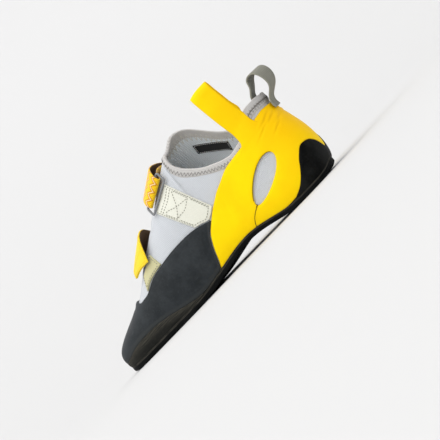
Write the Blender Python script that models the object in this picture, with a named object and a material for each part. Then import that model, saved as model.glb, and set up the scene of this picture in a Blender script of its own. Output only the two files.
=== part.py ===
"""Climbing shoe, right foot. Toe toward -Y, heel toward +Y, medial side +X, +Z up. Sizes in mm, built in metres."""
import bpy, bmesh, math
import numpy as np
from mathutils import Matrix

MM = 0.001
# ---------------------------------------------------------------- driving dimensions (mm)
GAP = 0.3            # between neighbouring pieces
WALL = 2.0           # bootie wall
SOLE_T = 4.0         # outsole rubber
SOLE_PROUD = 3.3     # outsole edge outside the feather line
INSOLE_T = 2.0
RAND_T = 2.0         # toe rand and heel cup rubber
PATCH_T = 1.7        # toe patch rubber
PANEL_T = 1.5        # tension rand
SUEDE_T = 1.2        # strap anchors
BAND_IN = 2.6        # collar binding, depth inside the upper's outer face
ARCH = 8.8           # height of the sole's arch
TOE_UP, HEEL_UP = 1.6, 4.5   # rise of the sole at the very tip and at the back of the heel
FOOT = 2.1           # rands start this far above the feather line
LIFT = 0.50          # rands lie this far off the upper's curve, which leaves the gap between their facets
HEEL_FAN = TOE_FAN = 45.0    # girth-station length of each quarter turn round heel and toe
PINCH = 4.5          # the heel's back draws in above its bulge
TIP_SLOPE = 0.38     # fall of the top line over the toes

# feather line (the sole edge), going round from the back of the heel over the medial side
FEATHER = [
    # name            x      y      flare z_wide  p
    ("heel_back",     0.0,  119.5,  7.0,  24.0,  1.00),
    ("heel_med1",    17.0,  112.5,  6.5,  23.0,  1.00),
    ("heel_med",     26.5,   94.0,  5.5,  22.0,  1.00),
    ("waist_rear_m", 25.0,   62.0,  5.0,  20.0,  0.95),
    ("waist_m",      22.0,   28.0,  4.5,  18.0,  0.90),
    ("ball_rear_m",  31.0,   -8.0,  3.5,  16.0,  0.85),
    ("ball_m",       39.0,  -42.0,  2.5,  14.0,  0.80),
    ("bigtoe_m",     40.0,  -80.0,  2.0,  12.0,  0.88),
    ("bigtoe_side",  34.5, -110.5,  1.8,   9.0,  1.10),
    ("tip",          18.0, -126.0,  1.6,   7.5,  1.22),
    ("toes_front",   -5.0, -117.5,  1.8,   8.0,  1.15),
    ("toes_lat",    -25.0,  -97.0,  2.3,   9.0,  1.05),
    ("littletoe",   -41.0,  -67.0,  3.0,  10.0,  1.05),
    ("ball_l",      -48.0,  -35.0,  3.5,  12.0,  1.05),
    ("ball_rear_l", -45.0,   -2.0,  4.5,  14.0,  1.00),
    ("waist_l",     -36.0,   30.0,  5.0,  18.0,  0.95),
    ("waist_rear_l",-31.5,   62.0,  5.5,  20.0,  0.95),
    ("heel_lat",    -30.0,   94.0,  5.5,  22.0,  1.00),
    ("heel_lat1",   -19.0,  112.5,  6.5,  23.0,  1.00),
]
# ridge of the last: over the foot it is the top line, behind the collar it runs on up the leg
SPINE = [
    # y       x     z_top
    (-102.0, 13.0,  31.5),
    ( -80.0, 11.0,  42.0),
    ( -60.0,  9.0,  56.5),
    ( -40.0,  7.0,  69.5),
    ( -20.0,  5.0,  83.0),
    (   0.0,  3.0,  96.0),
    (  20.0,  1.0, 109.0),
    (  36.0,  0.0, 121.0),
    (  52.0,  0.0, 141.0),
    (  72.0,  0.0, 172.0),
    (  92.0,  0.0, 190.0),
]
Y_TOE, Y_HEEL = SPINE[0][0], SPINE[-1][0]
MID = Y_HEEL - Y_TOE
G_TOE = HEEL_FAN + MID + TOE_FAN      # girth station of the toe's front; 0 is the back of the heel
G_TOT = 2 * G_TOE
ORIGIN = (-4.597, 5.538)       # the last's point that the row's origin lies under: the middle of the shoe's box
EDGE, FOOTLINE, TOP = -2.0, -1.0, 999.0   # words used in the tables below instead of a height


def smooth(t):
    t = np.clip(t, 0.0, 1.0)
    return t * t * (3 - 2 * t)


def sole_z(y):
    """underside of the outsole: flat forefoot, arch, flat heel, rounded tip and back"""
    y = np.asarray(y, float)
    return (ARCH * smooth((y + 40) / 70) * smooth((86 - y) / 56)
            + TOE_UP * np.clip((-112 - y) / 15, 0, 2) ** 2 + HEEL_UP * np.clip((y - 107) / 12.5, 0, 2) ** 2)


def edge_z(y):
    return sole_z(y) + SOLE_T + GAP


def spline(x, v, period=None):
    """cubic spline through (x, v): closed when a period is given, natural otherwise"""
    x, v = np.asarray(x, float), np.asarray(v, float)
    n = len(x)
    if period is not None:
        h = np.append(np.diff(x), period - x[-1])
        A, b = np.zeros((n, n)), np.zeros(n)
        for i in range(n):
            A[i, i - 1] += h[i - 1]
            A[i, i] += 2 * (h[i - 1] + h[i])
            A[i, (i + 1) % n] += h[i]
            b[i] = 6 * ((v[(i + 1) % n] - v[i]) / h[i] - (v[i] - v[i - 1]) / h[i - 1])
    else:
        h = np.append(np.diff(x), 1.0)
        A, b = np.eye(n), np.zeros(n)
        for i in range(1, n - 1):
            A[i, i - 1], A[i, i], A[i, i + 1] = h[i - 1], 2 * (h[i - 1] + h[i]), h[i]
            b[i] = 6 * ((v[i + 1] - v[i]) / h[i] - (v[i] - v[i - 1]) / h[i - 1])
    m = np.linalg.solve(A, b)

    def f(t):
        t = np.asarray(t, float)
        t = np.mod(t, period) if period is not None else np.clip(t, x[0], x[-1])
        i = np.clip(np.searchsorted(x, t, side='right') - 1, 0, n - 1 if period is not None else n - 2)
        j = (i + 1) % n
        a = t - x[i]
        c = h[i] - a
        return (m[i] * c ** 3 + m[j] * a ** 3) / (6 * h[i]) + (v[i] / h[i] - m[i] * h[i] / 6) * c + (v[j] / h[i] - m[j] * h[i] / 6) * a
    return f


def pchip(v, t):
    """monotone cubic through the rows of v (rows 0..n-1), read at fractional rows t: never overshoots"""
    v = np.asarray(v, float)
    n = len(v)
    d = np.diff(v)
    m = np.zeros(n)
    for i in range(1, n - 1):
        m[i] = 0.0 if d[i - 1] * d[i] <= 0 else 2 * d[i - 1] * d[i] / (d[i - 1] + d[i])
    m[0], m[-1] = d[0], d[-1]
    i = np.clip(np.floor(t).astype(int), 0, n - 2)
    s = t - i
    return (v[i] * (1 + 2 * s) * (1 - s) ** 2 + m[i] * s * (1 - s) ** 2 + v[i + 1] * s * s * (3 - 2 * s) + m[i + 1] * s * s * (s - 1))


# ---------------------------------------------------------------- the last as a surface S(g, v)
_x = np.array([r[1] for r in FEATHER])
_y = np.array([r[2] for r in FEATHER])
_step = np.hypot(np.diff(np.append(_x, _x[0])), np.diff(np.append(_y, _y[0])))
_knot = np.concatenate([[0], np.cumsum(_step)[:-1]])
PERIM = _step.sum()
F_X, F_Y, F_FLARE, F_WIDE, F_P = [spline(_knot, [r[k] for r in FEATHER], PERIM) for k in range(1, 6)]
XC = spline([r[0] for r in SPINE], [r[1] for r in SPINE])
ZT = spline([r[0] for r in SPINE], [r[2] for r in SPINE])


def station_of(x, y):
    """girth station of a point on the feather line"""
    yc = np.clip(y, Y_TOE, Y_HEEL)
    xc = XC(yc)
    ah = np.degrees(np.arctan2(x - xc, y - Y_HEEL))
    at = np.degrees(np.arctan2(-(x - xc), -(y - Y_TOE)))
    g = np.where(y > Y_HEEL, np.abs(ah) / 90 * HEEL_FAN,
                 np.where(y < Y_TOE, HEEL_FAN + MID + (90 - np.abs(at)) / 90 * TOE_FAN, HEEL_FAN + Y_HEEL - y))
    medial = np.where(y < Y_TOE, at < 0, np.where(y > Y_HEEL, ah > 0, x > xc))
    return np.where(medial, g, G_TOT - g)


_t = np.linspace(0, PERIM, 8001)[:-1]
_g = station_of(F_X(_t), F_Y(_t))
_o = np.argsort(_g)
_gs, _ts = _g[_o], _t[_o]
_first = _ts[0] + (PERIM if _ts[0] < PERIM / 2 else 0)
_last = _ts[-1] - (PERIM if _ts[-1] > PERIM / 2 else 0)
_gs = np.concatenate([[_gs[-1] - G_TOT], _gs, [_gs[0] + G_TOT]])
_ts = np.concatenate([[_last], np.where((_gs[1:-1] < 20) & (_ts > PERIM / 2), _ts - PERIM, _ts), [_first]])

NV = 96
NG = int(G_TOT)


def rib(g):
    """one rib: root on the ridge, outward direction, and its outline resampled by arc length"""
    t = np.interp(g, _gs, _ts)
    px, py, flare, wide, p = float(F_X(t)), float(F_Y(t)), float(F_FLARE(t)), float(F_WIDE(t)), float(F_P(t))
    z0 = float(edge_z(py))
    yc = min(max(py, Y_TOE), Y_HEEL)
    xc, zt = float(XC(yc)), float(ZT(yc))
    d = np.array([px - xc, py - yc])
    r0 = math.hypot(*d)
    d = d / r0
    w, zw = r0 + flare, z0 + wide
    a = np.linspace(0, math.pi / 2, 40)
    b = np.linspace(0, math.pi / 2, 160)[1:]
    r = np.concatenate([r0 + flare * np.sin(a), w * np.cos(b) ** p])
    z = np.concatenate([z0 + wide * (1 - np.cos(a)), zw + (zt - zw) * np.sin(b)])
    r[-1] = 0.0
    if py < Y_TOE:
        z[40:] -= TIP_SLOPE * max(0.0, -d[1]) * (r * np.clip(1 - r / w, 0, 1))[40:]
    if py > Y_HEEL:
        r = r - PINCH * max(0.0, d[1]) ** 2 * smooth((z - 36) / 38) * smooth((125 - z) / 30) * (1 - 0.45 * smooth((z - 74) / 14))
    s = np.concatenate([[0], np.cumsum(np.hypot(np.diff(r), np.diff(z)))])
    q = np.linspace(0, s[-1], NV)
    r, z = np.interp(q, s, r), np.interp(q, s, z)
    return np.stack([xc + d[0] * r, yc + d[1] * r, z], 1), s[-1]


_ribs = [rib(g) for g in range(NG)]
GRID = np.array([r[0] for r in _ribs])
LENGTH = np.array([r[1] for r in _ribs])
_du = np.roll(GRID, -1, 0) - np.roll(GRID, 1, 0)
_dv = np.gradient(GRID, axis=1)
NORMAL = np.cross(_dv, _du)
_slope = (ZT(Y_TOE + 1) - ZT(Y_TOE))
for _i in range(NG):
    _gm = min(_i, NG - _i)
    yr = Y_TOE if _gm > HEEL_FAN + MID else Y_HEEL - max(0, _gm - HEEL_FAN)
    dz = float(ZT(min(yr + 1, Y_HEEL)) - ZT(max(yr - 1, Y_TOE))) / (min(yr + 1, Y_HEEL) - max(yr - 1, Y_TOE))
    NORMAL[_i, -1] = (0, -dz, 1)
NORMAL /= np.linalg.norm(NORMAL, axis=2)[..., None]
if NORMAL[120, 40, 0] < 0:
    NORMAL[:, :-1] *= -1
NORMAL[:, 0] = (0, 0, -1)


def _bilinear(A, g, v):
    g, v = np.mod(np.asarray(g, float), G_TOT), np.clip(np.asarray(v, float), 0, 1) * (NV - 1)
    i, j = np.floor(g).astype(int) % NG, np.minimum(np.floor(v).astype(int), NV - 2)
    fg, fv = (g - np.floor(g))[..., None], (v - j)[..., None]
    k = (i + 1) % NG
    return (A[i, j] * (1 - fg) + A[k, j] * fg) * (1 - fv) + (A[i, j + 1] * (1 - fg) + A[k, j + 1] * fg) * fv


def S(g, v, d=0.0):
    """point on the last at girth station g and rib fraction v, moved out by d"""
    n = _bilinear(NORMAL, g, v)
    n = n / np.linalg.norm(n, axis=-1)[..., None]
    return _bilinear(GRID, g, v) + n * np.asarray(d, float)[..., None]


def rib_length(g):
    i = int(math.floor(g % G_TOT)) % NG
    return float(LENGTH[i])


def v_at(g, z):
    """rib fraction where the rib at g reaches height z"""
    if z == EDGE:
        return 0.0
    if z >= TOP:
        return 1.0
    g = g % G_TOT
    i = int(math.floor(g)) % NG
    f = g - math.floor(g)
    out = 0.0
    for k, wgt in ((i, 1 - f), ((i + 1) % NG, f)):
        col = GRID[k, :, 2]
        zz = col[0] + FOOT if z == FOOTLINE else z
        out += wgt * float(np.interp(zz, col, np.linspace(0, 1, NV)))
    return out


# ---------------------------------------------------------------- mesh helpers
def weld_sheet(P, Q, cols, rows, closed):
    """quads of a grid as two sheets P (inner) and Q (outer), welded where columns meet, plus side walls"""
    key, index, inner, outer = {}, np.zeros((cols, rows), int), [], []
    for i in range(cols):
        for j in range(rows):
            k = (round(float(P[i, j, 0]), 4), round(float(P[i, j, 1]), 4), round(float(P[i, j, 2]), 4))
            if k not in key:
                key[k] = len(inner)
                inner.append(P[i, j])
                outer.append(Q[i, j])
            index[i, j] = key[k]
    n = len(inner)
    faces, edges = [], {}
    for i in range(cols if closed else cols - 1):
        for j in range(rows - 1):
            q = [index[i, j], index[(i + 1) % cols, j], index[(i + 1) % cols, j + 1], index[i, j + 1]]
            f = [q[k] for k in range(4) if q[k] != q[k - 1]]
            if len(f) < 3:
                continue
            faces.append(f)
            for a, b in zip(f, f[1:] + f[:1]):
                edges[(a, b)] = edges.get((a, b), 0) + 1
    solid = [list(reversed(f)) for f in faces] + [[a + n for a in f] for f in faces]
    for (a, b) in edges:
        if (b, a) not in edges:
            solid.append([a, b, b + n, a + n])
    return inner + outer, solid


def add_mesh(name, verts, faces, mat, smooth_angle=35):
    me = bpy.data.meshes.new(name)
    me.from_pydata([((float(v[0]) - ORIGIN[0]) * MM, (float(v[1]) - ORIGIN[1]) * MM, float(v[2]) * MM) for v in verts], [],
                   [tuple(int(k) for k in f) for f in faces])
    me.validate()
    bm = bmesh.new()
    bm.from_mesh(me)
    bmesh.ops.triangulate(bm, faces=[f for f in bm.faces if len(f.verts) > 4])
    bmesh.ops.recalc_face_normals(bm, faces=bm.faces)
    bm.to_mesh(me)
    bm.free()
    me.shade_smooth()
    me.set_sharp_from_angle(angle=math.radians(smooth_angle))
    ob = bpy.data.objects.new(name, me)
    COLL.objects.link(ob)
    me.materials.append(mat)
    return ob


def columns(rows, step, closed=False):
    """rows of (g, z) pairs, one pair a seam line -> arrays g, v of each line, every step mm"""
    lines = [np.array([(r[k], v_at(r[k], r[k + 1])) for r in rows]) for k in range(0, len(rows[0]), 2)]
    pts = [S(q[:, 0], q[:, 1]) for q in lines]
    g0 = lines[0][:, 0]
    cuts = [0] + [i + 1 for i in range(len(rows) - 1) if abs(g0[i + 1] - g0[i]) > 200] + [len(rows)]
    out = []
    for c0, c1 in zip(cuts, cuts[1:]):      # a seam that crosses the ridge is two runs, one on each side
        t = []
        for i in range(c0, c1 - 1):
            n = max(1, round(max(np.linalg.norm(p[i + 1] - p[i]) for p in pts) / step))
            t += list(i - c0 + np.arange(n) / n)
        if not (closed and c1 == len(rows)):
            t.append(c1 - c0 - 1)
        t = np.array(t, float)
        out.append([pchip(q[c0:c1, k], t) for q in lines for k in (0, 1)])
    return [np.concatenate(q) for q in zip(*out)]


def join(a, b):
    """two runs of columns, one after the other; the shared column is kept once"""
    return [np.concatenate([p, q[1:]]) for p, q in zip(a, b)]


def patch(name, cols, rows, d_in, d_out, mat, closed=False, low_gap=0.0, high_gap=0.0):
    """closed solid over the last between two seam lines, from offset d_in to offset d_out; rows = fractions across"""
    ga, va, gb, vb = cols
    w = np.linspace(0, 1, rows + 1) if isinstance(rows, int) else np.array(rows, float)
    L = np.array([rib_length(g) for g in ga])
    g = ga[:, None] * (1 - w) + gb[:, None] * w
    v = (va + low_gap / L)[:, None] * (1 - w) + (np.where(vb > 0.99999, 1.0, vb - high_gap / L))[:, None] * w
    P, Q = S(g, v, np.full(g.shape, d_in)), S(g, v, np.full(g.shape, d_out))
    verts, faces = weld_sheet(P, Q, g.shape[0], g.shape[1], closed)
    return add_mesh(name, verts, faces, mat)


def mirrored(rows):
    return [tuple(G_TOT - c if k % 2 == 0 else c for k, c in enumerate(r)) for r in reversed(rows)]


def ribbon(name, path, thick, mat, step=4.0):
    """a strap: each path row holds points across its middle surface, from the front to the rear edge"""
    path = np.array(path, float)
    seg = np.concatenate([[0], np.cumsum(np.linalg.norm(np.diff(path, axis=0), axis=2).max(1))])
    t = np.linspace(0, seg[-1], max(2, int(round(seg[-1] / step)) + 1))
    M = np.stack([np.stack([spline(seg, path[:, j, k])(t) for k in range(3)], 1) for j in range(path.shape[1])], 1)
    n = np.cross(np.gradient(M, axis=0), np.gradient(M, axis=1))
    n /= np.linalg.norm(n, axis=2)[..., None]
    verts, faces = weld_sheet(M - n * thick / 2, M + n * thick / 2, M.shape[0], M.shape[1], False)
    return add_mesh(name, verts, faces, mat, 50)


def over(y, s, d):
    """point over the instep: at ridge station y, arc distance s from the ridge (medial +), height d above the last"""
    g = HEEL_FAN + (Y_HEEL - y)
    g = g if s >= 0 else G_TOT - g
    return S(np.array(g), np.array(1 - abs(s) / rib_length(g)), np.array(float(d)))


def material(name, colour, rough, metal=0.0):
    m = bpy.data.materials.new(name)
    m.use_nodes = True
    b = m.node_tree.nodes["Principled BSDF"]
    b.inputs["Base Color"].default_value = (*colour, 1)
    b.inputs["Roughness"].default_value = rough
    b.inputs["Metallic"].default_value = metal
    m.diffuse_color = (*colour, 1)
    return m


# ---------------------------------------------------------------- seam tables (g = girth station, z = height)
# lower edge of the collar binding and rim of the collar, medial side, from the heel's back to the ridge
COLLAR_M = [
    # g_foot        g_low   z_low  g_rim   z_rim
    (  0.0, EDGE,    0.0,   78.5,    0.0,  87.0),
    (  8.5, EDGE,    8.5,   78.5,    8.5,  88.0),
    ( 17.0, EDGE,   17.0,   78.8,   17.0,  88.6),
    ( 25.5, EDGE,   25.5,   78.8,   25.5,  88.4),
    ( 34.0, EDGE,   34.0,   76.0,   34.0,  85.5),
    ( 42.0, EDGE,   42.0,   70.5,   42.0,  79.0),
    ( 51.0, EDGE,   51.0,   65.2,   51.0,  72.3),
    ( 62.0, EDGE,   62.0,   62.8,   62.0,  70.2),
    ( 74.0, EDGE,   74.0,   64.8,   72.5,  72.0),
    ( 84.0, EDGE,   84.5,   69.0,   81.0,  75.4),
    ( 93.0, EDGE,   94.5,   74.8,   90.0,  79.5),
    (101.0, EDGE,  104.5,   81.8,   98.0,  85.6),
    (108.0, EDGE,  112.3,   89.5,  106.5,  94.2),
    (112.5, EDGE,  115.6,   97.0,  110.8, 102.3),
    (115.0, EDGE,  116.4,  103.6,  111.9, 108.5),
    (116.6, EDGE,  116.7,  107.6,  112.1, 111.5),
    (118.0, EDGE,  116.8,    TOP,  112.2,   TOP),
]
COLLAR_L = [
    (  0.0, EDGE,    0.0,   78.5,    0.0,  87.0),
    (  8.5, EDGE,    8.5,   78.5,    8.5,  88.0),
    ( 17.0, EDGE,   17.0,   78.6,   17.0,  88.3),
    ( 25.5, EDGE,   25.5,   78.0,   25.5,  87.2),
    ( 34.0, EDGE,   34.0,   76.2,   34.0,  85.0),
    ( 43.0, EDGE,   43.0,   74.2,   43.0,  82.8),
    ( 53.0, EDGE,   53.0,   73.8,   53.0,  82.0),
    ( 63.0, EDGE,   63.0,   76.0,   62.5,  84.5),
    ( 73.0, EDGE,   72.5,   82.0,   71.0,  90.5),
    ( 82.0, EDGE,   80.0,   90.0,   77.5,  98.0),
    ( 90.0, EDGE,   86.0,   98.5,   83.6, 106.5),
    ( 97.5, EDGE,   92.0,  106.0,   90.0, 115.0),
    (104.0, EDGE,   98.5,  110.6,   97.0, 119.4),
    (109.5, EDGE,  105.0,  111.4,  102.5, 118.6),
    (113.5, EDGE,  110.5,  110.4,  107.0, 115.4),
    (116.2, EDGE,  114.6,  109.2,  110.2, 113.2),
    (118.0, EDGE,  116.8,    TOP,  112.2,   TOP),
]
# toe: foot of the rand, seam between rand and patch, top of the patch
PATCH_REAR = [
    # g_low  z_low  g_top  z_top
    (118.2,  44.2,  118.4, 44.6),
    (127.0,  36.6,  126.6, 47.4),
    (133.4,  26.2,  133.6, 49.2),
    (138.4,  16.0,  141.0, 50.2),
    (142.6, FOOTLINE, 150.0, 50.4),
    (155.0, FOOTLINE, 160.0, 50.0),
    (166.0,  7.6,   168.0, 49.2),
]
TOE = [
    # g_foot           g_seam z_seam  g_top  z_top
    (166.0, FOOTLINE,  166.0,  7.6,   168.0, 49.2),
    (176.0, FOOTLINE,  176.0,  9.0,   178.0, 47.6),
    (186.0, FOOTLINE,  186.0, 11.2,   188.0, 45.4),
    (199.6, FOOTLINE,  199.6, 14.6,   199.6, 40.0),
    (206.0, FOOTLINE,  206.0, 15.7,   207.0, 38.6),
    (212.0, FOOTLINE,  212.0, 16.6,   212.5, 38.4),
    (215.0, FOOTLINE,  215.0, 16.9,   215.6, 40.0),
    (217.5, FOOTLINE,  217.5, 17.0,   218.2, 41.0),
    (220.0, FOOTLINE,  220.0, 17.0,   220.5,  TOP),
    (226.0, FOOTLINE,  226.0, 17.0,   226.0,  TOP),
    (233.0, FOOTLINE,  233.0, 16.8,   233.0,  TOP),
    (240.5, FOOTLINE,  240.5, 15.9,   240.5,  TOP),
    (248.0, FOOTLINE,  248.0, 14.6,   248.0,  TOP),
    (255.0, FOOTLINE,  255.0, 13.3,   255.0,  TOP),
    (262.0, FOOTLINE,  262.0, 12.2,   262.0,  TOP),
    (269.0, FOOTLINE,  269.0, 11.4,   269.0,  TOP),
    (276.5, FOOTLINE,  276.5, 10.9,   276.5,  TOP),
    (G_TOE, FOOTLINE,  G_TOE, 10.7,   G_TOE,  TOP),
]
# yellow panel ahead of the heel cup
PANEL = [
    # g_low     z_low     g_top   z_top
    (142.0, FOOTLINE,  141.6,  9.9),
    (137.0, FOOTLINE,  138.0, 15.4),
    (130.0, FOOTLINE,  132.8, 26.0),
    (122.0, FOOTLINE,  126.4, 36.4),
    (113.0, FOOTLINE,  117.4, 44.4),
    (102.0, FOOTLINE,  105.5, 52.4),
    ( 91.0, FOOTLINE,   93.3, 58.8),
    ( 79.0, FOOTLINE,   80.3, 63.8),
    ( 64.0, FOOTLINE,   63.3, 66.8),
    ( 51.0,  7.4,       51.0, 68.0),
]
# heel: foot of the cup, seam between cup and panel, top of the panel
HEEL = [
    # g_foot          g_seam z_seam  g_top  z_top
    (51.0, FOOTLINE,  51.0,  7.4,    51.0, 68.0),
    (44.0, FOOTLINE,  44.0, 10.2,    44.0, 69.5),
    (38.5, FOOTLINE,  38.5, 14.4,    38.5, 71.5),
    (33.0, FOOTLINE,  33.0, 20.8,    33.0, 74.0),
    (28.4, FOOTLINE,  28.4, 27.2,    28.4, 76.0),
    (20.3, FOOTLINE,  20.3, 34.0,    20.3, 77.2),
    (13.0, FOOTLINE,  13.0, 33.0,    13.0, 77.0),
    ( 7.0, FOOTLINE,   7.0, 28.0,     7.0, 76.8),
    ( 0.0, FOOTLINE,   0.0, 19.0,     0.0, 76.6),
]
# oval cut-out in the panel: centre y, centre z, half length, half height, tilt (degrees, nose down toward the toe)
OVAL = (78.0, 36.3, 23.5, 8.2, 28.0)

for ob in list(bpy.data.objects):
    bpy.data.objects.remove(ob, do_unlink=True)
COLL = bpy.data.collections.new("climbing_shoe")
CUT = bpy.data.collections.new("cutters")
bpy.context.scene.collection.children.link(COLL)
bpy.context.scene.collection.children.link(CUT)

M_KNIT = material("knit_grey_blue", (0.56, 0.62, 0.70), 0.85)
M_BAND = material("binding_grey", (0.42, 0.41, 0.41), 0.9)
M_BLACK = material("black_rubber", (0.012, 0.012, 0.013), 0.55)
M_PATCH = material("charcoal_rubber", (0.035, 0.038, 0.042), 0.6)
M_YELLOW = material("yellow_rubber", (0.95, 0.68, 0.01), 0.5)
M_SUEDE = material("cream_suede", (0.68, 0.67, 0.58), 0.95)
M_OLIVE = material("olive_suede", (0.52, 0.50, 0.33), 0.95)
M_WEB = material("yellow_webbing", (0.90, 0.58, 0.02), 0.8)
M_LOOP = material("grey_webbing", (0.27, 0.27, 0.24), 0.85)
M_RING = material("grey_plastic", (0.16, 0.16, 0.16), 0.5)
M_BOARD = material("insole_board", (0.30, 0.28, 0.24), 0.95)

# ---- upper: from the feather line over the toes and the instep, up to the collar binding;
#      the binding carries the wall on to the rim
FORE = [(g, EDGE, g, TOP) for g in (118.0, 126.5, 135, 144, 153, 162, 171, 180, 188.5, 197, 205.5, 214, 222.5, 231,
                                    239, 246.5, 254, 261.5, 269, 276.5, G_TOE)]
collar_m, collar_l = columns(COLLAR_M, 10.5), columns(mirrored(COLLAR_L), 10.5)
fore_m, fore_l = columns(FORE, 10.5), columns(mirrored(FORE), 10.5)


def under_band(cols, sign):
    """the upper's top line: drawn a little ahead of the binding where that seam stands steep"""
    g = np.minimum(cols[2] % G_TOT, G_TOT - cols[2] % G_TOT)
    return [cols[0], cols[1], cols[2] + sign * 0.7 * smooth((g - 104) / 8), cols[3]]


run = join(join(join(under_band(collar_m, 1), fore_m), fore_l), under_band(collar_l, -1))
upper = patch("upper", [q[:-1] for q in run], (0, 0.03, 0.07, 0.13, 0.22, 0.34, 0.48, 0.62, 0.75, 0.88, 1), -WALL, 0.0, M_KNIT, closed=True, high_gap=0.45)
band = patch("collar_band", [np.concatenate([a, b])[:-1] for a, b in zip(collar_m[2:], collar_l[2:])], 2, -BAND_IN, 0.0, M_BAND, closed=True)


# ---- outsole and insole: plates that follow the feather line
def plate(name, grow, z_low, z_high, mat, step=7.5, rings=(0.0, 0.6, 0.87, 1.0), bevel=0.0):
    gs = [g for g in np.arange(0, G_TOT - 0.1, G_TOT / round(G_TOT / step))]
    cols = []
    for g in gs:
        i = int(round(g)) % NG
        edge, root = GRID[i, 0], GRID[i, -1]
        d = edge[:2] - root[:2]
        r = np.linalg.norm(d)
        cols.append((root[:2], d / r, r + min(grow, 0.0), edge[1]))
    verts, faces, n = [], [], len(gs)
    rings = rings + (2.0,) if grow > 0 else rings      # a last ring outside the feather line, or all rings inside it
    layers = [(z_low, -bevel), (z_high, -bevel * 0.5)]
    ids = {}

    def vid(key, co):
        if key not in ids:
            ids[key] = len(verts)
            verts.append(co)
        return ids[key]
    for k, (fz, inset) in enumerate(layers):
        for i, (root, d, r, ye) in enumerate(cols):
            for j, f in enumerate(rings):
                p = root + d * (r * f if f < 2 else r + grow + inset)
                vid((k, i, j) if j else (k, round(float(root[0]), 3), round(float(root[1]), 3)), (p[0], p[1], fz(p[1] if f < 1 else ye)))
    rim = []
    if bevel:
        for k, (fz, up) in enumerate(((z_low, bevel), (z_high, -bevel))):
            for i, (root, d, r, ye) in enumerate(cols):
                p = root + d * (r + grow)
                vid(("rim", k, i), (p[0], p[1], fz(ye) + up))

    def at(k, i, j):
        i %= n
        root = cols[i][0]
        return ids[(k, i, j)] if j else ids[(k, round(float(root[0]), 3), round(float(root[1]), 3))]
    for k in (0, 1):
        for i in range(n):
            for j in range(len(rings) - 1):
                q = [at(k, i, j), at(k, i, j + 1), at(k, i + 1, j + 1), at(k, i + 1, j)]
                f = [q[m] for m in range(4) if q[m] != q[m - 1]]
                if len(f) > 2:
                    faces.append(f if k else list(reversed(f)))
    last = len(rings) - 1
    for i in range(n):
        if bevel:
            a, b = ids[("rim", 0, i)], ids[("rim", 0, (i + 1) % n)]
            c, e = ids[("rim", 1, (i + 1) % n)], ids[("rim", 1, i)]
            faces += [[at(0, i, last), a, b, at(0, i + 1, last)], [a, e, c, b], [e, at(1, i, last), at(1, i + 1, last), c]]
        else:
            faces.append([at(0, i, last), at(1, i, last), at(1, i + 1, last), at(0, i + 1, last)])
    return add_mesh(name, verts, faces, mat)


outsole = plate("outsole", SOLE_PROUD, sole_z, lambda y: sole_z(y) + SOLE_T, M_BLACK, step=8.0, bevel=0.9)
insole = plate("insole", -1.9, lambda y: edge_z(y) + 0.2, lambda y: edge_z(y) + INSOLE_T, M_BOARD, step=9.0, rings=(0.0, 0.65, 1.0))

# ---- toe rand and toe patch
toe = columns(TOE + mirrored(TOE)[1:], 9.0)
rear_m, rear_l = columns(PATCH_REAR, 9.5), columns(mirrored(PATCH_REAR), 9.5)
toe_rand = patch("toe_rand", toe[:4], 2, LIFT, LIFT + RAND_T, M_BLACK, high_gap=GAP)
toe_patch = patch("toe_patch", join(join(rear_m, toe[2:]), rear_l), (0, 0.1, 0.22, 0.36, 0.5, 0.66, 0.82, 1), LIFT, LIFT + PATCH_T, M_PATCH, low_gap=GAP)

# ---- yellow panel round the heel, with its oval cut-outs, and the black heel cup under it
heel = columns(HEEL + [tuple(-c if k % 2 == 0 else c for k, c in enumerate(r)) for r in reversed(HEEL)][1:], 6.5)
side_m = columns(PANEL, 10.0)
side_l = [q - G_TOT if k % 2 == 0 else q for k, q in enumerate(columns(mirrored(PANEL), 10.0))]
panel = patch("tension_rand", join(join(side_m, heel[2:]), side_l), (0, 0.05, 0.13, 0.26, 0.4, 0.55, 0.7, 0.85, 1), LIFT, LIFT + PANEL_T, M_YELLOW, low_gap=GAP)
cup = patch("heel_cup", heel[:4], (0, 0.08, 0.2, 0.4, 0.68, 1), LIFT + 0.1, LIFT + RAND_T, M_BLACK, high_gap=GAP)


def oval_cutter(name, side):
    bpy.ops.mesh.primitive_cylinder_add(vertices=32, radius=1.0, depth=1.0)
    ob = bpy.context.object
    ob.name = name
    y, z, a, b, tilt = OVAL
    ob.data.transform(Matrix.Rotation(math.pi / 2, 4, 'Y'))
    me = ob.data
    ct, st = math.cos(math.radians(tilt)), math.sin(math.radians(tilt))
    for v in me.vertices:
        u, w = v.co.y * a, v.co.z * b
        w *= 1.0 + 0.18 * v.co.y
        v.co = ((v.co.x * 26.0 + side * 33.0 - ORIGIN[0]) * MM, (y + u * ct - w * st - ORIGIN[1]) * MM, (z + u * st + w * ct) * MM)
    for c in list(ob.users_collection):
        c.objects.unlink(ob)
    CUT.objects.link(ob)
    ob.hide_render = True
    ob.display_type = 'WIRE'
    return ob


for side in (1, -1):
    cutter = oval_cutter("oval_cutter_%s" % ("m" if side > 0 else "l"), side)
    mod = panel.modifiers.new("oval_%d" % side, 'BOOLEAN')
    mod.operation = 'DIFFERENCE'
    mod.solver = 'EXACT'
    mod.object = cutter

# ---- suede anchors on the medial side
anchor_rear = patch("anchor_rear", columns([
    # g_low  z_low  g_top  z_top
    (131.6,  49.6,  148.5, 81.0),
    (125.6,  48.2,  143.0, 84.5),
    (118.6,  46.0,  137.5, 88.0),
    (113.0,  48.6,  132.0, 92.0),
    (108.4,  51.8,  127.0, 95.5)], 5.5), 7, LIFT, LIFT + SUEDE_T, M_SUEDE)
anchor_front = patch("anchor_front", columns([
    (199.0, 41.4, 194.0, 52.0),
    (191.0, 45.6, 189.0, 55.0),
    (182.0, 47.8, 183.0, 58.0),
    (173.5, 49.2, 177.0, 61.5)], 6.0), 3, LIFT, LIFT + SUEDE_T, M_OLIVE)

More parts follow.
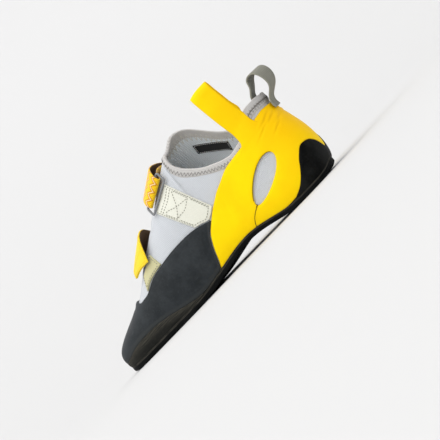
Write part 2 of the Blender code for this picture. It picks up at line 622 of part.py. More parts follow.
# ---- rear strap: over the instep from the lateral side, round its ring and back under itself
REAR_STRAP = [
    # s     d     y_front y_rear
    (-54.0, 1.6,   1.0,  23.0),
    (-44.0, 1.6,   0.0,  22.5),
    (-34.0, 2.2,  -1.5,  21.0),
    (-24.0, 4.4,  -3.5,  19.0),
    (-14.0, 7.6,  -5.5,  17.0),
    ( -5.0, 9.6,  -7.5,  15.0),
    (  3.0, 9.8,  -9.0,  13.5),
    (  9.0, 8.8, -10.0,  12.5),
    ( 13.2, 6.8, -10.5,  12.0),
    ( 14.2, 4.6, -10.5,  12.0),
    ( 12.2, 3.0, -10.5,  12.0),
    (  7.0, 3.1, -10.0,  12.5),
    (  0.5, 3.8,  -9.0,  13.5),
    ( -8.0, 3.4,  -7.0,  15.5),
]
strap_rear = ribbon("strap_rear", [[over(y, s, d) for y in np.linspace(yf, yr, 4)] for s, d, yf, yr in REAR_STRAP], 1.6, M_WEB, step=3.6)
FRONT_STRAP = [
    # s at the front and rear edge, d at the front and rear edge, y at the front and rear edge
    (-42.0, -42.0, 1.5, 1.5, -52.8, -31.8),
    (-36.0, -36.0, 1.5, 1.5, -53.6, -32.6),
    (-30.0, -30.0, 1.8, 1.9, -54.5, -33.5),
    (-20.0, -20.0, 3.4, 3.7, -55.8, -33.8),
    (-10.0, -10.0, 5.4, 6.2, -56.8, -32.8),
    (  0.5,   0.5, 7.0, 8.4, -58.2, -31.6),
    (  6.5,   9.0, 7.2, 8.8, -59.6, -33.4),
    ( 11.0,  18.0, 6.6, 7.6, -60.8, -36.6),
    ( 14.0,  25.0, 5.6, 6.2, -61.6, -39.8),
    ( 15.5,  29.0, 5.0, 5.4, -62.0, -41.8),
]


def front_path():
    k = np.linspace(0, 1, 4)
    return [[over(yf + (yr - yf) * q, sf + (sr - sf) * q, df + (dr - df) * q) for q in k] for sf, sr, df, dr, yf, yr in FRONT_STRAP]


strap_front = ribbon("strap_front", front_path(), 2.0, M_WEB, step=6.0)


# ---- ring: a closed tube with four sides round the rear strap's turn
def ring(name, corners, radius, mat, sides=8):
    n = len(corners)
    C = [np.array(c, float) for c in corners]
    centre = sum(C) / n
    axis = np.cross(C[1] - C[0], C[2] - C[1])
    axis /= np.linalg.norm(axis)
    pts = []
    for i in range(n):
        a, b, c = C[i - 1], C[i], C[(i + 1) % n]
        u, w = (a - b) / np.linalg.norm(a - b), (c - b) / np.linalg.norm(c - b)
        pts += [b + u * 2.0, b + (u + w) * 0.6, b + w * 2.0]
    m = len(pts)
    verts, faces = [], []
    for i in range(m):
        t = pts[(i + 1) % m] - pts[i - 1]
        t /= np.linalg.norm(t)
        side = np.cross(axis, t)
        side /= np.linalg.norm(side)
        up = np.cross(t, side)
        for k in range(sides):
            a = 2 * math.pi * k / sides
            verts.append(pts[i] + radius * (side * math.cos(a) + up * math.sin(a)))
    for i in range(m):
        for k in range(sides):
            j, l = (i + 1) % m, (k + 1) % sides
            faces.append([i * sides + k, i * sides + l, j * sides + l, j * sides + k])
    return add_mesh(name, verts, faces, mat, 60)


strap_ring = ring("strap_ring", [over(-12.9, 10.6, 5.9), over(14.4, 10.6, 5.9), over(14.4, 19.0, 3.1), over(-12.9, 19.0, 3.1)], 1.0, M_RING)

# ---- side tab: a flat folded band standing up from the medial collar, one layer outside it and one inside
TAB_G = (50.0, 45.4, 40.7, 36.1, 31.5)         # girth stations across its foot, front to rear
TAB_FOOT = (72.0, 72.9, 74.4, 76.4, 78.6)      # height of its outer foot at those stations
TAB_SIDE = [
    # part of the height, x added, y added at the front and at the rear edge
    (0.12, 0.0, -0.5, -0.4),
    (0.30, 0.3, -1.2, -0.9),
    (0.55, 0.5, -2.0, -1.6),
    (0.80, 0.2, -3.0, -2.3),
    (0.96, -0.5, -3.6, -2.7),
    (1.00, -2.0, -3.8, -2.8),
    (0.96, -3.5, -3.6, -2.7),
    (0.80, -4.2, -3.0, -2.3),
    (0.55, -4.6, -2.0, -1.6),
    (0.30, -4.9, -1.2, -0.9),
    (0.12, -5.1, -0.5, -0.4),
]
TAB_TOP = (125.0, 126.6)


def tab_path():
    out = [[S(np.array(g), np.array(v_at(g, z + up)), np.array(1.1)) for g, z in zip(TAB_G, TAB_FOOT)] for up in (0.0, 4.0, 8.0)]
    base = np.array(out[-1])
    k = np.linspace(0, 1, len(TAB_G))
    flat = base[0] * (1 - k)[:, None] + base[-1] * k[:, None]
    for h, dx, yf, yr in TAB_SIDE:
        row = base * (1 - smooth(h * 1.6)) + (flat + np.array([0.9, 0, 0])) * smooth(h * 1.6)
        row = row + np.stack([dx + 3.4 * k * h, yf * (1 - k) + yr * k, ((TAB_TOP[0] * (1 - k) + TAB_TOP[1] * k) - base[:, 2]) * h], 1)
        out.append(row)
    for up in (8.0, 3.0):
        out.append([S(np.array(g), np.array(v_at(g, z + up)), np.array(-4.1)) for g, z in zip(TAB_G, TAB_FOOT)])
    return out


side_tab = ribbon("side_tab", tab_path(), 1.3, M_YELLOW, step=4.5)

# ---- heel loop: webbing from inside the collar, out over the heel and down its back
LOOP_W = 19.0
LOOP = [
    # y      z
    (119.6,  95.6),
    (123.2, 101.4),
    (128.6, 104.4),
    (134.4, 103.4),
    (137.65,  98.4),
    (137.6,  91.6),
    (134.6,  86.2),
    (129.8,  82.4),
]


LOOP_TURN = (0.0, 0.45, 0.9, 1.0, 0.95, 0.7, 0.35, 0.1)


def loop_path():
    """the free part of the loop is turned a little about the vertical, as webbing settles"""
    inner = [(float(S(np.array(0.0), np.array(v_at(0.0, z)))[1]) - 6.6, z, 0.0) for z in (76.0, 83.0, 90.0)]
    outer = [(float(S(np.array(0.0), np.array(v_at(0.0, z)))[1]) + d, z, 0.0) for z, d in ((79.0, 4.9), (75.0, 3.5), (70.0, 3.3))]
    out = []
    for y, z, k in inner + [(y, z, k) for (y, z), k in zip(LOOP, LOOP_TURN)] + outer:
        c, s = math.cos(0.36 * k), math.sin(0.36 * k)
        out.append([(x * c + (y - 129.0) * s, 129.0 + (y - 129.0) * c - x * s, z) for x in (-LOOP_W / 2, 0.0, LOOP_W / 2)])
    return out


heel_loop = ribbon("heel_loop", loop_path(), 1.4, M_LOOP, step=4.0)
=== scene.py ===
"""Looks of the climbing shoe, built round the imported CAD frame. Sizes in mm on the last, placed in metres in the row frame."""
import math
import bpy
import bmesh
import numpy as np
from mathutils import Vector, Matrix


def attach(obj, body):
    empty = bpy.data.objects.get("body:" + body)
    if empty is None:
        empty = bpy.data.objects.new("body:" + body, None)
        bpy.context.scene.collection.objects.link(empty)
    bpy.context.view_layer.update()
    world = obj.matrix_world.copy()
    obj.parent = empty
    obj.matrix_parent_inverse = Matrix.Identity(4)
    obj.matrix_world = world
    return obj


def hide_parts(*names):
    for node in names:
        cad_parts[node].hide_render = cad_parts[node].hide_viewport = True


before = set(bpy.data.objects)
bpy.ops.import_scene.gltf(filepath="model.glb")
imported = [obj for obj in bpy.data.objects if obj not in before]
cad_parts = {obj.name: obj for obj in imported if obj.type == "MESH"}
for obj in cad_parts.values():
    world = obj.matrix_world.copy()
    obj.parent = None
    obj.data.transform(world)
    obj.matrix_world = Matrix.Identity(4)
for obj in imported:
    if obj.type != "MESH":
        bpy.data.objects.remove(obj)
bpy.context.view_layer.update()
RNG = np.random.default_rng(7)
MM = 0.001
# ---------------------------------------------------------------- driving dimensions (mm)
GAP = 0.3            # between neighbouring pieces
WALL = 2.0           # bootie wall
SOLE_T = 4.0         # outsole rubber
SOLE_PROUD = 3.3     # outsole edge outside the feather line
INSOLE_T = 2.0
RAND_T = 2.0         # toe rand and heel cup rubber
PATCH_T = 1.7        # toe patch rubber
PANEL_T = 1.5        # tension rand
SUEDE_T = 1.2        # strap anchors
BAND_IN = 2.6        # collar binding, depth inside the upper's outer face
ARCH = 8.8           # height of the sole's arch
TOE_UP, HEEL_UP = 1.6, 4.5   # rise of the sole at the very tip and at the back of the heel
FOOT = 2.1           # rands start this far above the feather line
LIFT = 0.50          # rands lie this far off the upper's curve, which leaves the gap between their facets
HEEL_FAN = TOE_FAN = 45.0    # girth-station length of each quarter turn round heel and toe
PINCH = 4.5          # the heel's back draws in above its bulge
TIP_SLOPE = 0.38     # fall of the top line over the toes

# feather line (the sole edge), going round from the back of the heel over the medial side
FEATHER = [
    # name            x      y      flare z_wide  p
    ("heel_back",     0.0,  119.5,  7.0,  24.0,  1.00),
    ("heel_med1",    17.0,  112.5,  6.5,  23.0,  1.00),
    ("heel_med",     26.5,   94.0,  5.5,  22.0,  1.00),
    ("waist_rear_m", 25.0,   62.0,  5.0,  20.0,  0.95),
    ("waist_m",      22.0,   28.0,  4.5,  18.0,  0.90),
    ("ball_rear_m",  31.0,   -8.0,  3.5,  16.0,  0.85),
    ("ball_m",       39.0,  -42.0,  2.5,  14.0,  0.80),
    ("bigtoe_m",     40.0,  -80.0,  2.0,  12.0,  0.88),
    ("bigtoe_side",  34.5, -110.5,  1.8,   9.0,  1.10),
    ("tip",          18.0, -126.0,  1.6,   7.5,  1.22),
    ("toes_front",   -5.0, -117.5,  1.8,   8.0,  1.15),
    ("toes_lat",    -25.0,  -97.0,  2.3,   9.0,  1.05),
    ("littletoe",   -41.0,  -67.0,  3.0,  10.0,  1.05),
    ("ball_l",      -48.0,  -35.0,  3.5,  12.0,  1.05),
    ("ball_rear_l", -45.0,   -2.0,  4.5,  14.0,  1.00),
    ("waist_l",     -36.0,   30.0,  5.0,  18.0,  0.95),
    ("waist_rear_l",-31.5,   62.0,  5.5,  20.0,  0.95),
    ("heel_lat",    -30.0,   94.0,  5.5,  22.0,  1.00),
    ("heel_lat1",   -19.0,  112.5,  6.5,  23.0,  1.00),
]
# ridge of the last: over the foot it is the top line, behind the collar it runs on up the leg
SPINE = [
    # y       x     z_top
    (-102.0, 13.0,  31.5),
    ( -80.0, 11.0,  42.0),
    ( -60.0,  9.0,  56.5),
    ( -40.0,  7.0,  69.5),
    ( -20.0,  5.0,  83.0),
    (   0.0,  3.0,  96.0),
    (  20.0,  1.0, 109.0),
    (  36.0,  0.0, 121.0),
    (  52.0,  0.0, 141.0),
    (  72.0,  0.0, 172.0),
    (  92.0,  0.0, 190.0),
]
Y_TOE, Y_HEEL = SPINE[0][0], SPINE[-1][0]
MID = Y_HEEL - Y_TOE
G_TOE = HEEL_FAN + MID + TOE_FAN      # girth station of the toe's front; 0 is the back of the heel
G_TOT = 2 * G_TOE
ORIGIN = (-4.597, 5.538)       # the last's point that the row's origin lies under: the middle of the shoe's box
EDGE, FOOTLINE, TOP = -2.0, -1.0, 999.0   # words used in the tables below instead of a height


def smooth(t):
    t = np.clip(t, 0.0, 1.0)
    return t * t * (3 - 2 * t)


def sole_z(y):
    """underside of the outsole: flat forefoot, arch, flat heel, rounded tip and back"""
    y = np.asarray(y, float)
    return (ARCH * smooth((y + 40) / 70) * smooth((86 - y) / 56)
            + TOE_UP * np.clip((-112 - y) / 15, 0, 2) ** 2 + HEEL_UP * np.clip((y - 107) / 12.5, 0, 2) ** 2)


def edge_z(y):
    return sole_z(y) + SOLE_T + GAP


def spline(x, v, period=None):
    """cubic spline through (x, v): closed when a period is given, natural otherwise"""
    x, v = np.asarray(x, float), np.asarray(v, float)
    n = len(x)
    if period is not None:
        h = np.append(np.diff(x), period - x[-1])
        A, b = np.zeros((n, n)), np.zeros(n)
        for i in range(n):
            A[i, i - 1] += h[i - 1]
            A[i, i] += 2 * (h[i - 1] + h[i])
            A[i, (i + 1) % n] += h[i]
            b[i] = 6 * ((v[(i + 1) % n] - v[i]) / h[i] - (v[i] - v[i - 1]) / h[i - 1])
    else:
        h = np.append(np.diff(x), 1.0)
        A, b = np.eye(n), np.zeros(n)
        for i in range(1, n - 1):
            A[i, i - 1], A[i, i], A[i, i + 1] = h[i - 1], 2 * (h[i - 1] + h[i]), h[i]
            b[i] = 6 * ((v[i + 1] - v[i]) / h[i] - (v[i] - v[i - 1]) / h[i - 1])
    m = np.linalg.solve(A, b)

    def f(t):
        t = np.asarray(t, float)
        t = np.mod(t, period) if period is not None else np.clip(t, x[0], x[-1])
        i = np.clip(np.searchsorted(x, t, side='right') - 1, 0, n - 1 if period is not None else n - 2)
        j = (i + 1) % n
        a = t - x[i]
        c = h[i] - a
        return (m[i] * c ** 3 + m[j] * a ** 3) / (6 * h[i]) + (v[i] / h[i] - m[i] * h[i] / 6) * c + (v[j] / h[i] - m[j] * h[i] / 6) * a
    return f


def pchip(v, t):
    """monotone cubic through the rows of v (rows 0..n-1), read at fractional rows t: never overshoots"""
    v = np.asarray(v, float)
    n = len(v)
    d = np.diff(v)
    m = np.zeros(n)
    for i in range(1, n - 1):
        m[i] = 0.0 if d[i - 1] * d[i] <= 0 else 2 * d[i - 1] * d[i] / (d[i - 1] + d[i])
    m[0], m[-1] = d[0], d[-1]
    i = np.clip(np.floor(t).astype(int), 0, n - 2)
    s = t - i
    return (v[i] * (1 + 2 * s) * (1 - s) ** 2 + m[i] * s * (1 - s) ** 2 + v[i + 1] * s * s * (3 - 2 * s) + m[i + 1] * s * s * (s - 1))


# ---------------------------------------------------------------- the last as a surface S(g, v)
_x = np.array([r[1] for r in FEATHER])
_y = np.array([r[2] for r in FEATHER])
_step = np.hypot(np.diff(np.append(_x, _x[0])), np.diff(np.append(_y, _y[0])))
_knot = np.concatenate([[0], np.cumsum(_step)[:-1]])
PERIM = _step.sum()
F_X, F_Y, F_FLARE, F_WIDE, F_P = [spline(_knot, [r[k] for r in FEATHER], PERIM) for k in range(1, 6)]
XC = spline([r[0] for r in SPINE], [r[1] for r in SPINE])
ZT = spline([r[0] for r in SPINE], [r[2] for r in SPINE])


def station_of(x, y):
    """girth station of a point on the feather line"""
    yc = np.clip(y, Y_TOE, Y_HEEL)
    xc = XC(yc)
    ah = np.degrees(np.arctan2(x - xc, y - Y_HEEL))
    at = np.degrees(np.arctan2(-(x - xc), -(y - Y_TOE)))
    g = np.where(y > Y_HEEL, np.abs(ah) / 90 * HEEL_FAN,
                 np.where(y < Y_TOE, HEEL_FAN + MID + (90 - np.abs(at)) / 90 * TOE_FAN, HEEL_FAN + Y_HEEL - y))
    medial = np.where(y < Y_TOE, at < 0, np.where(y > Y_HEEL, ah > 0, x > xc))
    return np.where(medial, g, G_TOT - g)


_t = np.linspace(0, PERIM, 8001)[:-1]
_g = station_of(F_X(_t), F_Y(_t))
_o = np.argsort(_g)
_gs, _ts = _g[_o], _t[_o]
_first = _ts[0] + (PERIM if _ts[0] < PERIM / 2 else 0)
_last = _ts[-1] - (PERIM if _ts[-1] > PERIM / 2 else 0)
_gs = np.concatenate([[_gs[-1] - G_TOT], _gs, [_gs[0] + G_TOT]])
_ts = np.concatenate([[_last], np.where((_gs[1:-1] < 20) & (_ts > PERIM / 2), _ts - PERIM, _ts), [_first]])

NV = 96
NG = int(G_TOT)


def rib(g):
    """one rib: root on the ridge, outward direction, and its outline resampled by arc length"""
    t = np.interp(g, _gs, _ts)
    px, py, flare, wide, p = float(F_X(t)), float(F_Y(t)), float(F_FLARE(t)), float(F_WIDE(t)), float(F_P(t))
    z0 = float(edge_z(py))
    yc = min(max(py, Y_TOE), Y_HEEL)
    xc, zt = float(XC(yc)), float(ZT(yc))
    d = np.array([px - xc, py - yc])
    r0 = math.hypot(*d)
    d = d / r0
    w, zw = r0 + flare, z0 + wide
    a = np.linspace(0, math.pi / 2, 40)
    b = np.linspace(0, math.pi / 2, 160)[1:]
    r = np.concatenate([r0 + flare * np.sin(a), w * np.cos(b) ** p])
    z = np.concatenate([z0 + wide * (1 - np.cos(a)), zw + (zt - zw) * np.sin(b)])
    r[-1] = 0.0
    if py < Y_TOE:
        z[40:] -= TIP_SLOPE * max(0.0, -d[1]) * (r * np.clip(1 - r / w, 0, 1))[40:]
    if py > Y_HEEL:
        r = r - PINCH * max(0.0, d[1]) ** 2 * smooth((z - 36) / 38) * smooth((125 - z) / 30) * (1 - 0.45 * smooth((z - 74) / 14))
    s = np.concatenate([[0], np.cumsum(np.hypot(np.diff(r), np.diff(z)))])
    q = np.linspace(0, s[-1], NV)
    r, z = np.interp(q, s, r), np.interp(q, s, z)
    return np.stack([xc + d[0] * r, yc + d[1] * r, z], 1), s[-1]


_ribs = [rib(g) for g in range(NG)]
GRID = np.array([r[0] for r in _ribs])
LENGTH = np.array([r[1] for r in _ribs])
_du = np.roll(GRID, -1, 0) - np.roll(GRID, 1, 0)
_dv = np.gradient(GRID, axis=1)
NORMAL = np.cross(_dv, _du)
_slope = (ZT(Y_TOE + 1) - ZT(Y_TOE))
for _i in range(NG):
    _gm = min(_i, NG - _i)
    yr = Y_TOE if _gm > HEEL_FAN + MID else Y_HEEL - max(0, _gm - HEEL_FAN)
    dz = float(ZT(min(yr + 1, Y_HEEL)) - ZT(max(yr - 1, Y_TOE))) / (min(yr + 1, Y_HEEL) - max(yr - 1, Y_TOE))
    NORMAL[_i, -1] = (0, -dz, 1)
NORMAL /= np.linalg.norm(NORMAL, axis=2)[..., None]
if NORMAL[120, 40, 0] < 0:
    NORMAL[:, :-1] *= -1
NORMAL[:, 0] = (0, 0, -1)


def _bilinear(A, g, v):
    g, v = np.mod(np.asarray(g, float), G_TOT), np.clip(np.asarray(v, float), 0, 1) * (NV - 1)
    i, j = np.floor(g).astype(int) % NG, np.minimum(np.floor(v).astype(int), NV - 2)
    fg, fv = (g - np.floor(g))[..., None], (v - j)[..., None]
    k = (i + 1) % NG
    return (A[i, j] * (1 - fg) + A[k, j] * fg) * (1 - fv) + (A[i, j + 1] * (1 - fg) + A[k, j + 1] * fg) * fv


def S(g, v, d=0.0):
    """point on the last at girth station g and rib fraction v, moved out by d"""
    n = _bilinear(NORMAL, g, v)
    n = n / np.linalg.norm(n, axis=-1)[..., None]
    return _bilinear(GRID, g, v) + n * np.asarray(d, float)[..., None]


def rib_length(g):
    i = int(math.floor(g % G_TOT)) % NG
    return float(LENGTH[i])


def v_at(g, z):
    """rib fraction where the rib at g reaches height z"""
    if z == EDGE:
        return 0.0
    if z >= TOP:
        return 1.0
    g = g % G_TOT
    i = int(math.floor(g)) % NG
    f = g - math.floor(g)
    out = 0.0
    for k, wgt in ((i, 1 - f), ((i + 1) % NG, f)):
        col = GRID[k, :, 2]
        zz = col[0] + FOOT if z == FOOTLINE else z
        out += wgt * float(np.interp(zz, col, np.linspace(0, 1, NV)))
    return out


def longest(rows):
    """length of each row-to-row step, on whichever seam line it is longest"""
    pts = [S(q[:, 0], q[:, 1]) for q in (np.array([(r[k], v_at(r[k], r[k + 1])) for r in rows]) for k in range(0, len(rows[0]), 2))]
    return [max(np.linalg.norm(p[i + 1] - p[i]) for p in pts) for i in range(len(rows) - 1)]


def columns(rows, step, closed=False, twin=False):
    """rows of (g, z) pairs, one pair a seam line -> arrays g, v of each line, every step mm; twin gives both sides of the shoe the same stations"""
    other = longest(mirrored(rows))[::-1] if twin else None
    lines = [np.array([(r[k], v_at(r[k], r[k + 1])) for r in rows]) for k in range(0, len(rows[0]), 2)]
    pts = [S(q[:, 0], q[:, 1]) for q in lines]
    g0 = lines[0][:, 0]
    cuts = [0] + [i + 1 for i in range(len(rows) - 1) if abs(g0[i + 1] - g0[i]) > 200] + [len(rows)]
    out = []
    for c0, c1 in zip(cuts, cuts[1:]):      # a seam that crosses the ridge is two runs, one on each side
        t = []
        for i in range(c0, c1 - 1):
            far = max(np.linalg.norm(p[i + 1] - p[i]) for p in pts)
            n = max(1, round(max(far, other[i] if twin else 0.0) / step))
            t += list(i - c0 + np.arange(n) / n)
        if not (closed and c1 == len(rows)):
            t.append(c1 - c0 - 1)
        t = np.array(t, float)
        out.append([pchip(q[c0:c1, k], t) for q in lines for k in (0, 1)])
    return [np.concatenate(q) for q in zip(*out)]


def join(a, b):
    """two runs of columns, one after the other; the shared column is kept once"""
    return [np.concatenate([p, q[1:]]) for p, q in zip(a, b)]


def mirrored(rows):
    return [tuple(G_TOT - c if k % 2 == 0 else c for k, c in enumerate(r)) for r in reversed(rows)]


def over(y, s, d):
    """point over the instep: at ridge station y, arc distance s from the ridge (medial +), height d above the last"""
    g = HEEL_FAN + (Y_HEEL - y)
    g = g if s >= 0 else G_TOT - g
    return S(np.array(g), np.array(1 - abs(s) / rib_length(g)), np.array(float(d)))


# ---------------------------------------------------------------- seam tables (g = girth station, z = height)
# lower edge of the collar binding and rim of the collar, medial side, from the heel's back to the ridge
COLLAR_M = [
    # g_foot        g_low   z_low  g_rim   z_rim
    (  0.0, EDGE,    0.0,   78.5,    0.0,  87.0),
    (  8.5, EDGE,    8.5,   78.5,    8.5,  88.0),
    ( 17.0, EDGE,   17.0,   78.8,   17.0,  88.6),
    ( 25.5, EDGE,   25.5,   78.8,   25.5,  88.4),
    ( 34.0, EDGE,   34.0,   76.0,   34.0,  85.5),
    ( 42.0, EDGE,   42.0,   70.5,   42.0,  79.0),
    ( 51.0, EDGE,   51.0,   65.2,   51.0,  72.3),
    ( 62.0, EDGE,   62.0,   62.8,   62.0,  70.2),
    ( 74.0, EDGE,   74.0,   64.8,   72.5,  72.0),
    ( 84.0, EDGE,   84.5,   69.0,   81.0,  75.4),
    ( 93.0, EDGE,   94.5,   74.8,   90.0,  79.5),
    (101.0, EDGE,  104.5,   81.8,   98.0,  85.6),
    (108.0, EDGE,  112.3,   89.5,  106.5,  94.2),
    (112.5, EDGE,  115.6,   97.0,  110.8, 102.3),
    (115.0, EDGE,  116.4,  103.6,  111.9, 108.5),
    (116.6, EDGE,  116.7,  107.6,  112.1, 111.5),
    (118.0, EDGE,  116.8,    TOP,  112.2,   TOP),
]
COLLAR_L = [
    (  0.0, EDGE,    0.0,   78.5,    0.0,  87.0),
    (  8.5, EDGE,    8.5,   78.5,    8.5,  88.0),
    ( 17.0, EDGE,   17.0,   78.6,   17.0,  88.3),
    ( 25.5, EDGE,   25.5,   78.0,   25.5,  87.2),
    ( 34.0, EDGE,   34.0,   76.2,   34.0,  85.0),
    ( 43.0, EDGE,   43.0,   74.2,   43.0,  82.8),
    ( 53.0, EDGE,   53.0,   73.8,   53.0,  82.0),
    ( 63.0, EDGE,   63.0,   76.0,   62.5,  84.5),
    ( 73.0, EDGE,   72.5,   82.0,   71.0,  90.5),
    ( 82.0, EDGE,   80.0,   90.0,   77.5,  98.0),
    ( 90.0, EDGE,   86.0,   98.5,   83.6, 106.5),
    ( 97.5, EDGE,   92.0,  106.0,   90.0, 115.0),
    (104.0, EDGE,   98.5,  110.6,   97.0, 119.4),
    (109.5, EDGE,  105.0,  111.4,  102.5, 118.6),
    (113.5, EDGE,  110.5,  110.4,  107.0, 115.4),
    (116.2, EDGE,  114.6,  109.2,  110.2, 113.2),
    (118.0, EDGE,  116.8,    TOP,  112.2,   TOP),
]
# toe: foot of the rand, seam between rand and patch, top of the patch
PATCH_REAR = [
    # g_low  z_low  g_top  z_top
    (118.2,  44.2,  118.4, 44.6),
    (127.0,  36.6,  126.6, 47.4),
    (133.4,  26.2,  133.6, 49.2),
    (138.4,  16.0,  141.0, 50.2),
    (142.6, FOOTLINE, 150.0, 50.4),
    (155.0, FOOTLINE, 160.0, 50.0),
    (166.0,  7.6,   168.0, 49.2),
]
TOE = [
    # g_foot           g_seam z_seam  g_top  z_top
    (166.0, FOOTLINE,  166.0,  7.6,   168.0, 49.2),
    (176.0, FOOTLINE,  176.0,  9.0,   178.0, 47.6),
    (186.0, FOOTLINE,  186.0, 11.2,   188.0, 45.4),
    (199.6, FOOTLINE,  199.6, 14.6,   199.6, 40.0),
    (206.0, FOOTLINE,  206.0, 15.7,   207.0, 38.6),
    (212.0, FOOTLINE,  212.0, 16.6,   212.5, 38.4),
    (215.0, FOOTLINE,  215.0, 16.9,   215.6, 40.0),
    (217.5, FOOTLINE,  217.5, 17.0,   218.2, 41.0),
    (220.0, FOOTLINE,  220.0, 17.0,   220.5,  TOP),
    (226.0, FOOTLINE,  226.0, 17.0,   226.0,  TOP),
    (233.0, FOOTLINE,  233.0, 16.8,   233.0,  TOP),
    (240.5, FOOTLINE,  240.5, 15.9,   240.5,  TOP),
    (248.0, FOOTLINE,  248.0, 14.6,   248.0,  TOP),
    (255.0, FOOTLINE,  255.0, 13.3,   255.0,  TOP),
    (262.0, FOOTLINE,  262.0, 12.2,   262.0,  TOP),
    (269.0, FOOTLINE,  269.0, 11.4,   269.0,  TOP),
    (276.5, FOOTLINE,  276.5, 10.9,   276.5,  TOP),
    (G_TOE, FOOTLINE,  G_TOE, 10.7,   G_TOE,  TOP),
]
# yellow panel ahead of the heel cup
PANEL = [
    # g_low     z_low     g_top   z_top
    (142.0, FOOTLINE,  141.6,  9.9),
    (137.0, FOOTLINE,  138.0, 15.4),
    (130.0, FOOTLINE,  132.8, 26.0),
    (122.0, FOOTLINE,  126.4, 36.4),
    (113.0, FOOTLINE,  117.4, 44.4),
    (102.0, FOOTLINE,  105.5, 52.4),
    ( 91.0, FOOTLINE,   93.3, 58.8),
    ( 79.0, FOOTLINE,   80.3, 63.8),
    ( 64.0, FOOTLINE,   63.3, 66.8),
    ( 51.0,  7.4,       51.0, 68.0),
]
# heel: foot of the cup, seam between cup and panel, top of the panel
HEEL = [
    # g_foot          g_seam z_seam  g_top  z_top
    (51.0, FOOTLINE,  51.0,  7.4,    51.0, 68.0),
    (44.0, FOOTLINE,  44.0, 10.2,    44.0, 69.5),
    (38.5, FOOTLINE,  38.5, 14.4,    38.5, 71.5),
    (33.0, FOOTLINE,  33.0, 20.8,    33.0, 74.0),
    (28.4, FOOTLINE,  28.4, 27.2,    28.4, 76.0),
    (20.3, FOOTLINE,  20.3, 34.0,    20.3, 77.2),
    (13.0, FOOTLINE,  13.0, 33.0,    13.0, 77.0),
    ( 7.0, FOOTLINE,   7.0, 28.0,     7.0, 76.8),
    ( 0.0, FOOTLINE,   0.0, 19.0,     0.0, 76.6),
]
# oval cut-out in the panel: centre y, centre z, half length, half height, tilt (degrees, nose down toward the toe)
OVAL = (78.0, 36.3, 23.5, 8.2, 28.0)


# ================================================================ fine mesh helpers
def to_world(P):
    P = np.asarray(P, float)
    return (P - np.array([ORIGIN[0], ORIGIN[1], 0.0])) * MM


def new_object(name, verts, faces, mats, uv=None, edge_uv=None, angle=40, merge=0.004, mat_index=None):
    """mesh object from last-frame points (mm); uv and edge_uv are per vertex, in mm"""
    me = bpy.data.meshes.new(name)
    me.from_pydata(to_world(verts).tolist(), [], [tuple(int(k) for k in f) for f in faces])
    loops = np.zeros(len(me.loops), np.int32)
    me.loops.foreach_get("vertex_index", loops)
    for key, val in (("UVMap", uv), ("Edge", edge_uv)):
        if val is not None:
            layer = me.uv_layers.new(name=key)
            layer.data.foreach_set("uv", np.asarray(val, np.float32)[loops].ravel())
    if mat_index is not None:
        me.polygons.foreach_set("material_index", np.asarray(mat_index, np.int32))
    for m in (mats if isinstance(mats, (list, tuple)) else [mats]):
        me.materials.append(m)
    bm = bmesh.new()
    bm.from_mesh(me)
    if merge:
        bmesh.ops.remove_doubles(bm, verts=bm.verts, dist=merge * MM)
    bmesh.ops.recalc_face_normals(bm, faces=bm.faces)
    bm.to_mesh(me)
    bm.free()
    me.shade_smooth()
    me.set_sharp_from_angle(angle=math.radians(angle))
    ob = bpy.data.objects.new(name, me)
    bpy.context.scene.collection.objects.link(ob)
    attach(ob, "root")
    return ob


def sheet_faces(n, m, closed=False, open_top=None):
    """faces of two stacked n x m grids (outer first, then inner) with walls round the edge; none where a ring closes or two halves meet on the ridge"""
    a = (np.arange(n - 1)[:, None] * m + np.arange(m - 1)[None, :])
    q = np.stack([a, a + m, a + m + 1, a + 1], -1).reshape(-1, 4)
    k = n * m
    faces = [q, q[:, ::-1] + k]
    j = np.arange(m - 1)
    i = np.arange(n - 1) * m
    if not closed:
        faces.append(np.stack([j, j + 1, j + 1 + k, j + k], 1))
        e = (n - 1) * m + j
        faces.append(np.stack([e + 1, e, e + k, e + 1 + k], 1))
    faces.append(np.stack([i + m, i, i + k, i + m + k], 1))
    f = (i if open_top is None else i[~open_top]) + m - 1
    faces.append(np.stack([f, f + m, f + m + k, f + k], 1))
    return np.concatenate(faces)


def span_of(cols):
    ga, va, gb, vb = cols
    w = np.linspace(0, 1, 9)
    P = S(ga[:, None] * (1 - w) + gb[:, None] * w, va[:, None] * (1 - w) + vb[:, None] * w)
    return np.linalg.norm(np.diff(P, axis=1), axis=2).sum(1)


def lay_grid(cols, rows):
    """grid of girth stations and rib fractions; rows = (fraction across, extra mm)"""
    ga, va, gb, vb = cols
    span = np.maximum(span_of(cols), 0.05)
    rows = np.array(rows, float)
    w = rows[None, :, 0] + rows[None, :, 1] / span[:, None]
    G = ga[:, None] * (1 - w) + gb[:, None] * w
    V = np.clip(va[:, None] * (1 - w) + vb[:, None] * w, 0, 1)
    low, high = w * span[:, None], (1 - w) * span[:, None]
    mid = S(G[:, G.shape[1] // 2], V[:, V.shape[1] // 2])
    run = np.concatenate([[0], np.cumsum(np.linalg.norm(np.diff(mid, axis=0), axis=1))])
    return G, V, low, high, run


